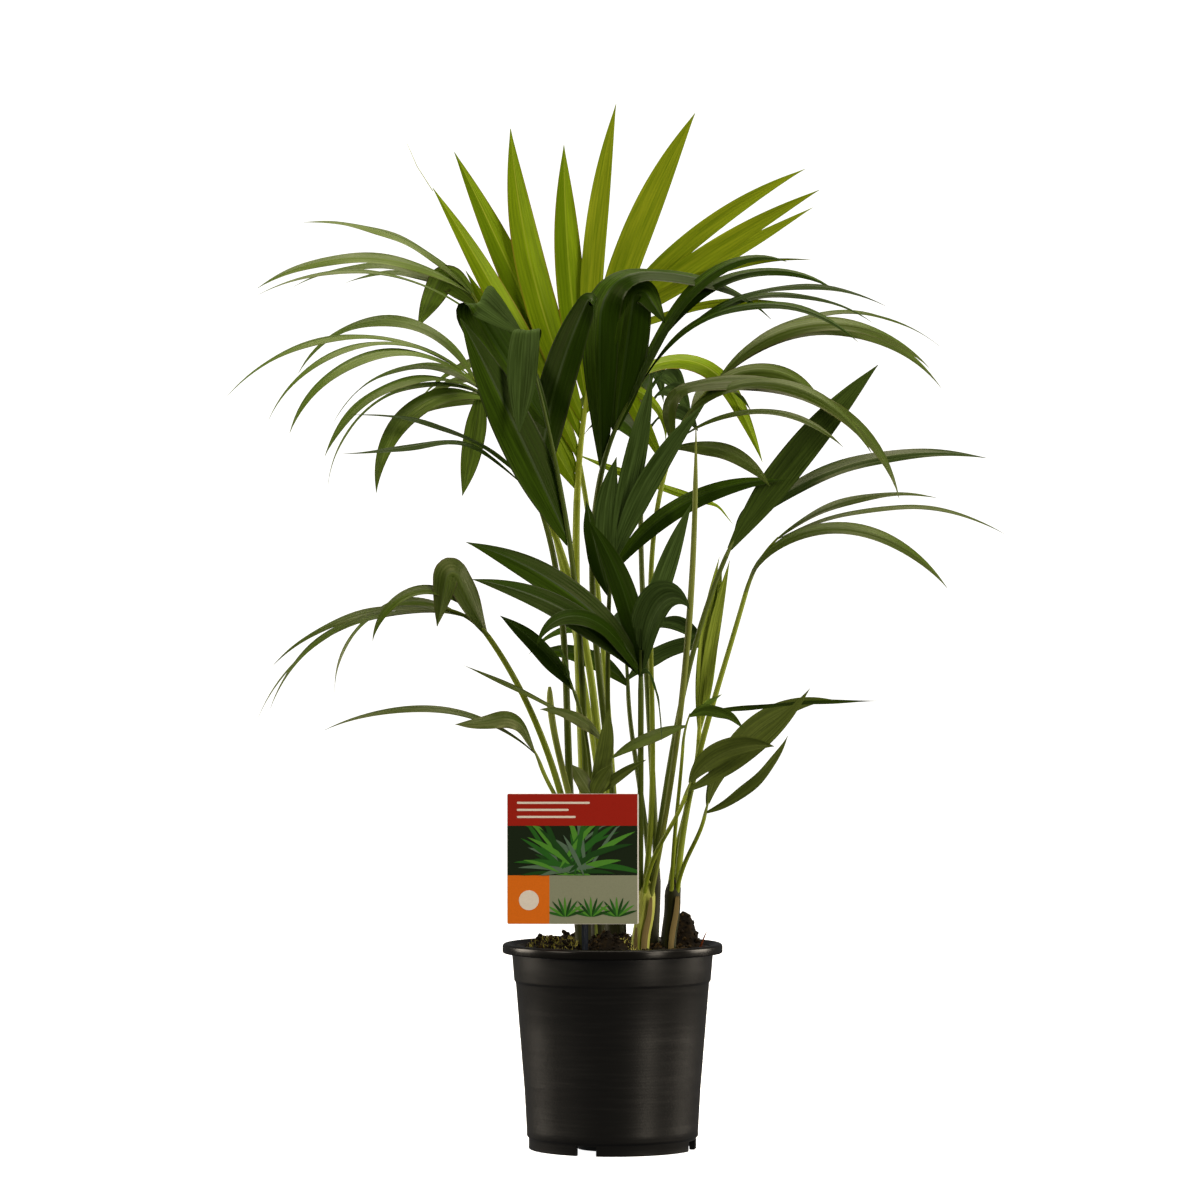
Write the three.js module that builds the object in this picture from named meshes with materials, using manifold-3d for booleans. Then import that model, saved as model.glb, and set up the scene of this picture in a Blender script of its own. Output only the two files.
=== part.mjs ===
// A young kentia palm in its round nursery pot: six seedlings grown together, their stalks, and the
// arching fronds. Millimetres, +Z up, the origin at the centre of the pot's flat underside, the pot's
// label toward -Y. An azimuth is counted from +X toward +Y, and a rise from level, both in degrees.
import * as THREE from "three";
import { mergeVertices } from "three/addons/utils/BufferGeometryUtils.js";
import Module from "manifold-3d";

const wasm = await Module();
wasm.setup();

// ---- Driving dimensions ----

const CLEARANCE = 0.3;
const UP = new THREE.Vector3(0, 0, 1);

const POT = {
  height: 177,
  rimRadius: 95,
  rimDepth: 8,
  collarRadius: 87.5,
  collarDepth: 33,
  collarStep: 1.2,
  footRadius: 74,
  footStep: 1.7,
  footHeight: 11,
  footWidth: 5,
  channelHeight: 9,
  discRadius: 30,
  discSlope: 3,
  wall: 1.8,
  edge: 1.5,
  rimRounding: 2.6,
  lipWidth: 5.6,
  notches: 4,
  notchTurn: -108.5,
  notchWidth: 18,
  facets: 36,
};

const SOIL = {
  level: 172,
  plateauRadius: 74,
  rimLevel: 166,
  moundSides: 10,
  moundRings: 6,
  mounds: [
    { x: 66, y: 26, radius: 12, height: 18 },
    { x: -38, y: 56, radius: 14, height: 9 },
    { x: 4, y: -54, radius: 13, height: 6 },
    { x: -56, y: -22, radius: 14, height: 8 },
  ],
};

const CARD = { x: -33.8, y: -64, bottom: 197.5, width: 112, height: 111, thickness: 1.2 };
const PICK = { x: -23.5, width: 5.5, depth: 3, top: 262 };

const STEM = { sides: 12, steps: 3 };

// Each stem is one seedling: where it leaves the soil, where it ends under its stalks, its radii, and
// the radius of the ring on its head that the stalks stand on.
const STEMS = {
  left: { foot: [-22, 8], head: [-26, 8, 236], footRadius: 9, headRadius: 10.8, ring: 6.4 },
  back: { foot: [3, 42], head: [0, 44, 240], footRadius: 8.6, headRadius: 10.6, ring: 6.4 },
  front: { foot: [-12, -26], head: [-13, -28, 226], footRadius: 5, headRadius: 6.2, ring: 3.6 },
  middle: { foot: [24, -14], head: [29, -14, 218], footRadius: 6.8, headRadius: 8.4, ring: 5.2 },
  right: { foot: [47.5, 0], head: [52, 0, 218], footRadius: 5.6, headRadius: 7.7, ring: 4.4 },
  far: { foot: [34, 44], head: [36, 48, 228], footRadius: 5.8, headRadius: 7, ring: 3.6 },
};

// The stub of a stalk cut off long ago, on the ring of the left stem.
const STUB = { stem: "left", seat: 274, tip: [-54, -30, 399], radii: [2.4, 3.2] };

// The closed spear of the next leaf, which runs up from the middle stem to a point.
// Its radii are those at its foot, belly, neck and point.
const SPEAR = {
  stem: "middle", seat: 322, tip: [71, -56, 620], radii: [2.6, 3.4, 2.6, 0.5], lean: 0.28,
  bellyAt: 0.6, neckAt: 0.88,
};

const LEAF = {
  steps: 5,
  foldedSteps: 9,
  sides: 3,
  baseShare: 0.2,
  widestAt: 0.4,
  tipShare: 0.05,
  shoulder: 1.3,
  thinness: 0.011,
  tipThinness: 0.6,
  sectionWidth: 0.866,
  sectionDepth: 0.75,
};

const NO_FOLD = { at: 1, by: 0, over: 1, turn: 0 };
const STALK = { sides: 5, steps: 7, lean: 0.14, lowerHandle: 0.4, upperHandle: 0.3 };
const RIB = { sides: 5, steps: 5, endShare: 0.45, lastLeaflet: 0.97 };

const COLOURS = { fresh: "#7d9a1c", leaf: "#2f4a18", dark: "#1f3208", grey: "#5d6a3a", stalk: "#77852c" };

// ---- The fronds ----
// stem and seat: the stem that carries the stalk, and the place of the stalk's foot on its ring.
// throat: the place where the blade begins. radii: the stalk's, at its foot and at the throat.
// rib: azimuth, rise, droop and length. Each leaflet is a row of
// [share along the rib, azimuth, rise, droop, length, width, roll, lateness of the droop].
// A roll of 0 turns the upper face to the sky, and one of 90 or -90 turns it across the arch. A leaflet
// that folds over ends its row with { at, by, over, turn }: the share of its length where it folds, by
// how many degrees, over what share, and how far its face turns as it does.

const FRONDS = [
  {
    name: "newest_fan", colour: "fresh", stem: "left", seat: 66,
    throat: [-31, 70, 561], radii: [4, 3.2], rib: [10, 88, 12, 150],
    leaflets: [
      [0.06, 186, 62, 6, 120, 20, 80, 1],
      [0.15, 176, 63, 4, 205, 20, 80, 1],
      [0.24, 184, 66, 9, 270, 22, 84, 1],
      [0.36, 175, 69, 6, 276, 26, 84, 1],
      [0.46, 182, 66, -20, 266, 28, 86, 1],
      [0.58, 178, 80, -10, 226, 25, 88, 1],
      [0.68, 4, 91, 13, 248, 20, 88, 1],
      [0.78, -4, 74, 14, 241, 27, 86, 1.3],
      [0.95, 6, 54, 29, 240, 17, 84, 1],
      [0.97, -8, 40, 14, 232, 18, 80, 1],
      [1, 10, 34, 6, 224, 15, 70, 1],
      [0.94, -10, 45, 50, 208, 9, 50, 1],
      [0.9, 16, 33, 44, 204, 10, 50, 1],
      [0.55, 10, 37, 34, 220, 19, -28, 1, { at: 0.5, by: 74, over: 0.5, turn: -54 }],
      [0.5, -14, 56, 0, 128, 14, -75, 1, { at: 0.3, by: 118, over: 0.34, turn: 0 }],
      [0.58, 14, 46, 142, 104, 11, -75, 1],
      [0.26, 8, -22, -6, 152, 9, -60, 1, { at: 0.86, by: 36, over: 0.1, turn: 0 }],
    ],
  },
  {
    name: "upper_left", colour: "leaf", stem: "back", seat: 104,
    throat: [-104, 84, 704], radii: [2.8, 2.2], rib: [184, 68, 10, 44],
    leaflets: [
      [0.95, 172, 54, 58, 172, 14, 26, 0.9],
      [1, 190, 36, 70, 202, 16, 42, 1],
      [0.85, 158, 36, 62, 186, 14, 30, 1],
      [0.2, 198, 43, 72, 226, 12, 20, 1],
      [0.7, 150, 39, 58, 148, 12, 25, 1],
      [0.7, 176, 44, 0, 90, 24, 84, 1, { at: 0.44, by: 108, over: 0.2, turn: 0 }],
    ],
  },
  {
    name: "mid_left", colour: "leaf", stem: "back", seat: 176,
    throat: [-107, 26, 645], radii: [3.8, 2.4], rib: [182, 60, 8, 26],
    handles: [0.5, 0.34], lean: 0.03,
    leaflets: [
      [0.95, 168, 66, 128, 196, 17, 34, 1],
      [1, 186, 41, 91, 238, 15, 20, 1],
      [0.85, 196, 45, 112, 220, 15, 18, 1],
      [0.65, 204, 43, 114, 214, 18, 26, 1],
      [0.5, 152, 39, 98, 172, 16, 26, 1],
      [0.35, 212, 27, 94, 188, 16, 22, 1],
      [0.25, 160, 29, 113, 198, 15, 20, 1],
      [0.1, 216, 19, 109, 166, 18, 50, 1],
      [0.5, 180, -83, -6, 94, 19, 88, 1],
    ],
  },
  {
    name: "thin_left", colour: "dark", stem: "left", seat: 208,
    throat: [-63, -24, 556], radii: [3.6, 2.4], rib: [196, 70, 12, 16],
    leaflets: [
      [0.9, 190, 54, 58, 174, 12, 26, 0.8],
      [0.5, 204, 37, -22, 192, 12, 24, 1, { at: 0.4, by: 62, over: 0.5, turn: 0 }],
      [0.1, -20, 88, 30, 210, 34, -84, 1, { at: 0.87, by: 150, over: 0.06, turn: 98 }],
    ],
  },
  {
    name: "front_left", colour: "dark", stem: "left", seat: 322,
    throat: [-36, -62, 517], radii: [3, 2.4], rib: [186, 82, 8, 170],
    leaflets: [
      [0.02, 194, 66, 5, 214, 38, 84, 1],
      [0.62, -40, 129, 0, 200, 40, 232, 1, { at: 0.68, by: 163, over: 0.12, turn: -118 }],
      [1, 248, 88, 0, 118, 29, 180, 1, { at: 0.22, by: 168, over: 0.16, turn: 0 }],
    ],
  },
  {
    name: "dark_centre", colour: "dark", stem: "back", seat: 306,
    throat: [-10, -10, 581], radii: [3.2, 2.6], rib: [-4, 78, 26, 96],
    leaflets: [
      [0.06, -8, 92, 60, 312, 33, -84, 3, { at: 0.52, by: 80, over: 0.26, turn: 62 }],
      [0.42, -12, 82, 0, 162, 38, -84, 1, { at: 0.76, by: 140, over: 0.14, turn: 30 }],
      [0.6, -18, 66, 88, 214, 18, -52, 2.4],
      [0.75, -12, 74, 110, 236, 15, -50, 1.3],
      [0.95, -22, 59, 86, 249, 12, -32, 0.95],
      [1, -8, 62, 98, 228, 12, -32, 1],
      [0.9, -28, 59, 101, 238, 13, -36, 1],
    ],
  },
  {
    name: "inner_centre", colour: "dark", stem: "back", seat: 244,
    throat: [-3, -40, 473], radii: [2.4, 2], rib: [0, 88, 12, 56],
    leaflets: [
      [0.1, 0, 100, 26, 118, 22, 88, 1],
      [0.06, 196, 72, -8, 84, 18, 84, 1],
      [0.5, -6, 78, 0, 168, 20, 86, 1],
      [0.55, -16, 71, 24, 162, 19, 84, 1],
      [0.4, 10, 58, 60, 180, 18, -64, 1],
    ],
  },
  {
    name: "long_right", colour: "leaf", stem: "middle", seat: 114,
    throat: [51, -8, 602], radii: [2.6, 2.1], rib: [30, 68, 32, 82],
    leaflets: [
      [0.05, -10, 100, 100, 290, 26, -86, 1.45, { at: 0.15, by: 78, over: 0.16, turn: 56 }],
      [0.08, -20, 84, 145, 224, 16, -44, 0.68],
      [0.72, -4, 44, 108, 122, 18, -62, 1.1],
      [0.08, -34, 37, 78, 184, 11, -30, 1],
      [0, -38, 6, 56, 114, 16, -55, 1.3],
      [1, 10, 54, 101, 214, 18, -48, 1],
      [0.95, 20, 50, 102, 242, 18, -44, 1],
      [1, 30, 50, 83, 254, 11, -28, 1],
      [0.5, 60, 46, 90, 120, 18, -30, 1],
    ],
  },
  {
    name: "broad_right", colour: "dark", stem: "middle", seat: 44,
    throat: [98, -6, 511], radii: [2.8, 2.1], rib: [8, 66, 6, 22],
    leaflets: [
      [0.3, -6, 57, 12, 204, 27, 88, 1],
      [0.9, 16, 50, 60, 250, 16, -44, 0.8],
      [0.6, 66, 56, 70, 150, 20, 30, 1],
    ],
  },
  {
    name: "low_right", colour: "leaf", stem: "right", seat: 40,
    throat: [115.5, 10, 480], radii: [3.2, 2.1], rib: [6, 74, 30, 56],
    handles: [0.36, 0.4], lean: 0.06,
    leaflets: [
      [0.1, -12, 88, 142, 214, 17, -40, 0.62],
      [1, 14, 40, 52, 154, 12, -28, 1],
      [0.95, -4, 25, 57, 206, 11, -24, 1.4],
    ],
  },
  {
    name: "furled_right", colour: "fresh", stem: "right", seat: 130,
    throat: [75, 22, 352], radii: [2.7, 2.2], rib: [0, 88, 4, 40],
    leaflets: [
      [0, 0, 91, 15, 158, 9, 85, 1],
      [0.02, 10, 88, 12, 158, 12, 88, 1],
      [0.05, -10, 84, 8, 156, 11, 84, 1],
      [0.05, 0, 79, -7, 152, 8, 70, 1],
    ],
  },
  {
    name: "front_fan", colour: "dark", stem: "middle", seat: 190,
    throat: [24, -60, 397], radii: [2.7, 2.6], rib: [270, 86, 10, 34],
    leaflets: [
      [0.5, 192, 60, 44, 190, 26, 80, 0.8],
      [0.35, 202, 53, 45, 178, 23, 70, 0.8],
      [0.3, 212, 58, 130, 136, 17, 60, 1.9],
      [0.4, -50, 84, 150, 114, 34, 80, 2.2],
      [0.6, 170, 81, 26, 134, 21, 84, 1.3],
      [0.7, 8, 79, 14, 142, 19, 84, 1],
      [0.3, -76, 50, 138, 108, 7, 60, 0.6],
    ],
  },
  {
    name: "low_left", colour: "leaf", stem: "left", seat: 140,
    throat: [-107, -20, 442], radii: [3.2, 2.4], rib: [184, 54, 44, 46],
    handles: [0.42, 0.22],
    leaflets: [
      [0.04, 210, 62, 0, 116, 26, 78, 1, { at: 0.56, by: 140, over: 0.18, turn: 0 }],
      [0.25, 208, 66, 146, 136, 12, 38, 1],
      [0.5, 190, 20, 67, 184, 11, 24, 1],
      [0.6, 172, 12, 80, 218, 11, 22, 1.1],
      [0.8, 182, 12, 84, 196, 11, 22, 1.1],
      [0.8, 154, 24, 116, 164, 13, 44, 1.1],
    ],
  },
  {
    name: "lowest_left", colour: "grey", stem: "front", seat: 176,
    throat: [-62, -42, 333], radii: [2.2, 1.8], rib: [190, 70, 10, 14],
    leaflets: [
      [0.6, 188, 48, 74, 195, 13, 24, 0.8],
      [0.9, 200, 62, -26, 86, 16, 60, 1, { at: 0.36, by: 88, over: 0.44, turn: 0 }],
    ],
  },
  {
    name: "small_left", colour: "grey", stem: "front", seat: 310,
    throat: [-7, -46, 346], radii: [1.9, 1.6], rib: [200, 78, 10, 10],
    leaflets: [
      [0.5, 196, 62, 62, 66, 12, 60, 0.8],
      [0.9, 186, 48, 26, 134, 7, 40, 0.3],
    ],
  },
  {
    name: "small_right", colour: "leaf", stem: "right", seat: 255,
    throat: [60, -52, 349], radii: [1.9, 1.5], rib: [10, 86, 18, 28],
    leaflets: [
      [0.6, 200, -10, 24, 76, 11, 60, 1],
      [0.9, -20, 34, 92, 56, 12, 60, 1],
      [1, 20, 32, 4, 34, 7, 50, 1],
      [1, 4, 9, 10, 162, 9, 26, 1],
    ],
  },
  {
    name: "lower_right_front", colour: "leaf", stem: "middle", seat: 252,
    throat: [62, -62, 307], radii: [2.1, 1.7], rib: [0, 72, 6, 12],
    leaflets: [
      [0.9, -24, 66, 78, 90, 19, 80, 0.8],
      [0.3, -8, 28, -26, 138, 14, 80, 1.2],
    ],
  },
  {
    name: "lower_right_back", colour: "leaf", stem: "right", seat: 320,
    throat: [79, -28, 288], radii: [2.1, 1.7], rib: [0, 78, 6, 12],
    leaflets: [
      [0.9, 12, 76, 78, 153, 19, 80, 1.1],
      [0.2, -10, 22, -42, 100, 11, 60, 1],
      [0.6, 80, 60, 60, 100, 15, 50, 1],
    ],
  },
  {
    name: "small_dark", colour: "dark", stem: "front", seat: 88,
    throat: [-32, -46, 392], radii: [1.9, 1.6], rib: [190, 70, 6, 10],
    leaflets: [
      [0.5, 190, 58, 26, 90, 17, 70, 1],
      [0.9, 256, 66, 60, 60, 14, 60, 1],
    ],
  },
  {
    name: "back_left", colour: "leaf", stem: "back", seat: 40,
    throat: [-30, 118, 600], radii: [3, 2.2], rib: [116, 66, 40, 110],
    leaflets: [
      [0.2, 172, 48, 80, 150, 20, 40, 1],
      [0.25, 80, 50, 90, 150, 20, 40, 1],
      [0.5, 160, 46, 90, 160, 20, 40, 1],
      [0.55, 88, 44, 90, 160, 20, 40, 1],
      [0.8, 146, 40, 90, 165, 20, 40, 1],
      [0.85, 100, 38, 90, 160, 20, 40, 1],
      [1, 124, 40, 80, 160, 16, 40, 1],
    ],
  },
  {
    name: "back_centre", colour: "dark", stem: "far", seat: 40,
    throat: [26, 112, 590], radii: [3, 2.2], rib: [84, 68, 40, 100],
    leaflets: [
      [0.2, 118, 52, 90, 126, 20, 40, 1],
      [0.25, 64, 52, 90, 130, 20, 40, 1],
      [0.5, 108, 50, 90, 130, 20, 40, 1],
      [0.55, 70, 48, 90, 140, 20, 40, 1],
      [0.8, 98, 42, 90, 150, 20, 40, 1],
      [0.85, 74, 42, 90, 150, 20, 40, 1],
      [1, 84, 38, 80, 160, 16, 40, 1],
    ],
  },
  {
    name: "back_low", colour: "dark", stem: "far", seat: 215,
    throat: [14, 92, 392], radii: [2.6, 2], rib: [96, 70, 30, 60],
    leaflets: [
      [0.1, 176, 50, 60, 90, 18, 60, 1],
      [0.2, 10, 52, 60, 90, 18, 60, 1],
      [0.6, 140, 50, 100, 130, 18, 40, 1],
      [0.7, 50, 50, 100, 130, 18, 40, 1],
      [1, 96, 44, 100, 140, 18, 40, 1],
    ],
  },
];

// The lowest and youngest leaf: a small fishtail and two loose lobes at the end of one short stalk. Its
// rows leave the share out, because they all begin at the stalk's end.
const SPROUT = {
  colour: "grey", stem: "front", seat: 244, tip: [-17, -56, 306], radii: [1.8, 1.5], lobesAt: 0.98,
  lobes: [
    [200, 62, 10, 34, 15, 80, 1],
    [-30, 62, 10, 34, 15, 80, 1],
    [-12, 70, -20, 78, 15, 84, 1],
    [-22, 44, 20, 60, 9, 70, 1],
  ],
};

// ---- Shapes ----

function radians(degrees) {
  return THREE.MathUtils.degToRad(degrees);
}

function heading(azimuth, rise) {
  const level = Math.cos(radians(rise));
  const east = level * Math.cos(radians(azimuth));
  const north = level * Math.sin(radians(azimuth));
  return new THREE.Vector3(east, north, Math.sin(radians(rise)));
}

// An arch leaves its start at a rise and sinks under its own weight, in one upright plane.
class Arch extends THREE.Curve {
  constructor(start, azimuth, rise, droop, length, late = 1, fold = NO_FOLD) {
    super();
    Object.assign(this, { start, azimuth, rise, droop, length, late, fold, slices: 36 });
  }

  foldedAt(share) {
    const { at, over } = this.fold;
    return THREE.MathUtils.smoothstep(share, at - over / 2, at + over / 2);
  }

  riseAt(share) {
    return this.rise - this.droop * share ** this.late - this.fold.by * this.foldedAt(share);
  }

  getPoint(share) {
    const place = this.start.clone();
    const slice = share / this.slices;
    for (let i = 0; i < this.slices; i += 1) {
      const direction = heading(this.azimuth, this.riseAt((i + 0.5) * slice));
      place.addScaledVector(direction, this.length * slice);
    }
    return place;
  }

  sideways() {
    return new THREE.Vector3(Math.sin(radians(this.azimuth)), -Math.cos(radians(this.azimuth)), 0);
  }
}

// A rod of the given sides and steps, each of its corners moved by place(share, across, through).
function bentRod(sides, steps, place) {
  const rod = new THREE.CylinderGeometry(1, 1, 1, sides, steps);
  const corners = rod.attributes.position;
  for (let i = 0; i < corners.count; i += 1) {
    const spot = place(corners.getY(i) + 0.5, corners.getX(i), corners.getZ(i));
    corners.setXYZ(i, spot.x, spot.y, spot.z);
  }
  return rod;
}

function taperedTube(curve, radiusAt, sides, steps) {
  const frames = curve.computeFrenetFrames(steps);
  return bentRod(sides, steps, (share, across, through) => {
    const step = Math.round(share * steps);
    const radius = radiusAt(share);
    return curve
      .getPointAt(share)
      .addScaledVector(frames.binormals[step], across * radius)
      .addScaledVector(frames.normals[step], through * radius);
  });
}

function leafletWidthShare(share) {
  if (share < LEAF.widestAt) {
    const climb = Math.sin((share / LEAF.widestAt) * (Math.PI / 2));
    return LEAF.baseShare + (1 - LEAF.baseShare) * climb;
  }
  const fall = (share - LEAF.widestAt) / (1 - LEAF.widestAt);
  return Math.max(LEAF.tipShare, Math.cos((fall ** LEAF.shoulder) * (Math.PI / 2)));
}

function leafletShape(root, azimuth, rise, droop, length, width, roll, late, fold = NO_FOLD) {
  const arch = new Arch(root, azimuth, rise, droop, length, late, fold);
  const side = arch.sideways();
  const steps = fold === NO_FOLD ? LEAF.steps : LEAF.foldedSteps;
  return bentRod(LEAF.sides, steps, (share, across, through) => {
    const above = heading(azimuth, arch.riseAt(share) + 90);
    const turned = radians(roll + fold.turn * arch.foldedAt(share));
    const broad = side.clone().multiplyScalar(Math.cos(turned));
    broad.addScaledVector(above, Math.sin(turned));
    const thin = above.clone().multiplyScalar(Math.cos(turned));
    thin.addScaledVector(side, -Math.sin(turned));
    const fullness = leafletWidthShare(share);
    const halfWidth = (width * fullness) / (2 * LEAF.sectionWidth);
    const thickness = length * LEAF.thinness * THREE.MathUtils.lerp(LEAF.tipThinness, 1, fullness);
    return arch
      .getPoint(share)
      .addScaledVector(broad, across * halfWidth)
      .addScaledVector(thin, (through * thickness) / (2 * LEAF.sectionDepth));
  });
}

// ---- Joining and cutting ----

function welded(geometry) {
  const bare = geometry.clone();
  bare.deleteAttribute("normal");
  bare.deleteAttribute("uv");
  return mergeVertices(bare, 1e-4);
}

function solidFrom(geometry) {
  const whole = welded(geometry);
  const vertProperties = new Float32Array(whole.attributes.position.array);
  const triVerts = new Uint32Array(whole.index.array);
  return new wasm.Manifold(new wasm.Mesh({ numProp: 3, vertProperties, triVerts }));
}

function geometryFrom(solid) {
  const mesh = solid.getMesh();
  const geometry = new THREE.BufferGeometry();
  geometry.setAttribute("position", new THREE.BufferAttribute(mesh.vertProperties, 3));
  geometry.setIndex(new THREE.BufferAttribute(mesh.triVerts, 1));
  geometry.computeVertexNormals();
  return geometry;
}

function joined(geometries) {
  const [first, ...rest] = geometries.map(solidFrom);
  return geometryFrom(rest.reduce((sum, next) => sum.add(next), first));
}

// ---- The pot, its soil and its label ----

function potWallInside(z) {
  const share = (z - POT.footHeight) / (POT.height - POT.footHeight);
  return THREE.MathUtils.lerp(POT.footRadius, POT.collarRadius, share) - POT.wall;
}

function potGeometry() {
  const collarFoot = POT.height - POT.collarDepth;
  const rimFoot = POT.height - POT.rimDepth;
  const outsideAt = (z) => potWallInside(z) + POT.wall;
  const ringOuter = POT.footRadius - POT.footStep;
  const ringInner = ringOuter - POT.footWidth;
  const discFoot = POT.discRadius + POT.discSlope;
  const floor = POT.channelHeight + POT.wall;
  const profile = [
    [0, 0],
    [POT.discRadius, 0],
    [discFoot, POT.channelHeight],
    [ringInner - POT.edge, POT.channelHeight],
    [ringInner, 0],
    [ringOuter - POT.edge, 0],
    [ringOuter, POT.edge],
    [ringOuter, POT.footHeight - POT.edge],
    [POT.footRadius, POT.footHeight],
    [outsideAt(collarFoot) - POT.collarStep, collarFoot],
    [outsideAt(collarFoot), collarFoot + POT.edge],
    [outsideAt(rimFoot), rimFoot],
    [POT.rimRadius - POT.edge, rimFoot],
    [POT.rimRadius, rimFoot + POT.rimRounding],
    [POT.rimRadius, POT.height - POT.rimRounding],
    [POT.rimRadius - POT.rimRounding, POT.height],
    [POT.rimRadius - POT.lipWidth, POT.height],
    [potWallInside(POT.height), POT.height - POT.rimRounding],
    [potWallInside(floor), floor],
    [discFoot - POT.wall, floor],
    [POT.discRadius - POT.wall, POT.wall],
    [0, POT.wall],
  ];
  let solid = solidFrom(latheUpright(profile, POT.facets));
  for (let i = 0; i < POT.notches; i += 1) {
    const angle = radians(POT.notchTurn + (360 / POT.notches) * i);
    const notch = new THREE.BoxGeometry(4 * POT.footWidth, POT.notchWidth, 2 * POT.channelHeight);
    notch.rotateZ(angle);
    notch.translate(ringOuter * Math.cos(angle), ringOuter * Math.sin(angle), -CLEARANCE);
    solid = solid.subtract(solidFrom(notch));
  }
  return geometryFrom(solid);
}

function latheUpright(profile, facets) {
  const points = profile.map(([radius, z]) => new THREE.Vector2(radius, z));
  const turned = new THREE.LatheGeometry(points, facets);
  turned.rotateX(Math.PI / 2);
  return turned;
}

function soilGeometry() {
  const floor = POT.channelHeight + POT.wall + CLEARANCE;
  const well = POT.discRadius - POT.wall - 3 * CLEARANCE;
  const profile = [
    [0, POT.wall + CLEARANCE],
    [well, POT.wall + CLEARANCE],
    [well + POT.discSlope, floor],
    [potWallInside(floor) - 3 * CLEARANCE, floor],
    [potWallInside(SOIL.rimLevel) - 3 * CLEARANCE, SOIL.rimLevel],
    [SOIL.plateauRadius, SOIL.level],
    [0, SOIL.level],
  ];
  const mounds = SOIL.mounds.map((mound) => {
    const heap = new THREE.SphereGeometry(1, SOIL.moundSides, SOIL.moundRings);
    heap.rotateX(Math.PI / 2);
    heap.scale(mound.radius, mound.radius, mound.height);
    heap.translate(mound.x, mound.y, SOIL.level - CLEARANCE);
    return heap;
  });
  return joined([latheUpright(profile, POT.facets), ...mounds]);
}

function cardGeometry() {
  const card = new THREE.BoxGeometry(CARD.width, CARD.thickness, CARD.height);
  card.translate(CARD.x, CARD.y, CARD.bottom + CARD.height / 2);
  return card;
}

function pickGeometry() {
  const foot = SOIL.level + CLEARANCE;
  const height = PICK.top - foot;
  const pick = new THREE.BoxGeometry(PICK.width, PICK.depth, height);
  const behindCard = CARD.y + CARD.thickness / 2 + CLEARANCE + PICK.depth / 2;
  pick.translate(PICK.x, behindCard, foot + height / 2);
  return pick;
}

// ---- Stems and stalks ----

function stemGeometry(stem) {
  const foot = new THREE.Vector3(stem.foot[0], stem.foot[1], SOIL.level + CLEARANCE);
  const head = new THREE.Vector3(...stem.head);
  const rise = head.z - foot.z;
  const bend = new THREE.CubicBezierCurve3(
    foot,
    foot.clone().addScaledVector(UP, rise / 2),
    head.clone().addScaledVector(UP, -rise / 2),
    head,
  );
  const radiusAt = (share) => THREE.MathUtils.lerp(stem.footRadius, stem.headRadius, share);
  return taperedTube(bend, radiusAt, STEM.sides, STEM.steps);
}

// A stalk stands on its stem's flat head, leans toward its throat and swings into its last direction.
function stalkCurve(frond, arrival) {
  const lean = frond.lean ?? STALK.lean;
  const stem = STEMS[frond.stem];
  const seat = heading(frond.seat, 0).multiplyScalar(stem.ring);
  const end = new THREE.Vector3(...(frond.throat ?? frond.tip));
  const start = new THREE.Vector3(...stem.head).add(seat);
  const outward = end.clone().sub(start).setZ(0).normalize();
  const departure = UP.clone().addScaledVector(outward, lean).normalize();
  start.z += CLEARANCE + frond.radii[0] * lean;
  const span = start.distanceTo(end);
  const [lower, upper] = frond.handles ?? [STALK.lowerHandle, STALK.upperHandle];
  return new THREE.CubicBezierCurve3(
    start,
    start.clone().addScaledVector(departure, span * lower),
    end.clone().addScaledVector(arrival, -span * upper),
    end,
  );
}

function stalkTube(curve, [foot, head]) {
  const radiusAt = (share) => THREE.MathUtils.lerp(foot, head, share);
  return taperedTube(curve, radiusAt, STALK.sides, STALK.steps);
}

function stalkGeometry(frond) {
  const [azimuth, rise] = frond.rib;
  return stalkTube(stalkCurve(frond, heading(azimuth, rise)), frond.radii);
}

function stubGeometry() {
  return stalkTube(stalkCurve(STUB, UP), STUB.radii);
}

function spearGeometry() {
  const curve = stalkCurve(SPEAR, UP);
  const [foot, belly, neck, point] = SPEAR.radii;
  const radiusAt = (share) => {
    if (share < SPEAR.bellyAt) {
      return THREE.MathUtils.mapLinear(share, 0, SPEAR.bellyAt, foot, belly);
    }
    if (share < SPEAR.neckAt) {
      return THREE.MathUtils.mapLinear(share, SPEAR.bellyAt, SPEAR.neckAt, belly, neck);
    }
    return THREE.MathUtils.mapLinear(share, SPEAR.neckAt, 1, neck, point);
  };
  return taperedTube(curve, radiusAt, STALK.sides, 2 * STALK.steps);
}

// ---- Blades ----

function bladeGeometry(frond) {
  const [azimuth, rise, droop, length] = frond.rib;
  const start = new THREE.Vector3(...frond.throat).addScaledVector(heading(azimuth, rise), CLEARANCE);
  const rib = new Arch(start, azimuth, rise, droop, length);
  const ribRadius = frond.radii[1];
  const ribRadiusAt = (share) => ribRadius * THREE.MathUtils.lerp(1, RIB.endShare, share);
  const leaflets = frond.leaflets.map(([share, ...shape]) => {
    const sunk = Math.max(share, ribRadius / length);
    return leafletShape(rib.getPoint(Math.min(sunk, RIB.lastLeaflet)), ...shape);
  });
  return joined([taperedTube(rib, ribRadiusAt, RIB.sides, RIB.steps), ...leaflets]);
}

function sproutGeometry() {
  const curve = stalkCurve(SPROUT, UP);
  const stalk = stalkTube(curve, SPROUT.radii);
  const root = curve.getPointAt(SPROUT.lobesAt);
  const lobes = SPROUT.lobes.map((lobe) => leafletShape(root, ...lobe));
  return joined([stalk, ...lobes]);
}

// ---- The assembly ----

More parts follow.
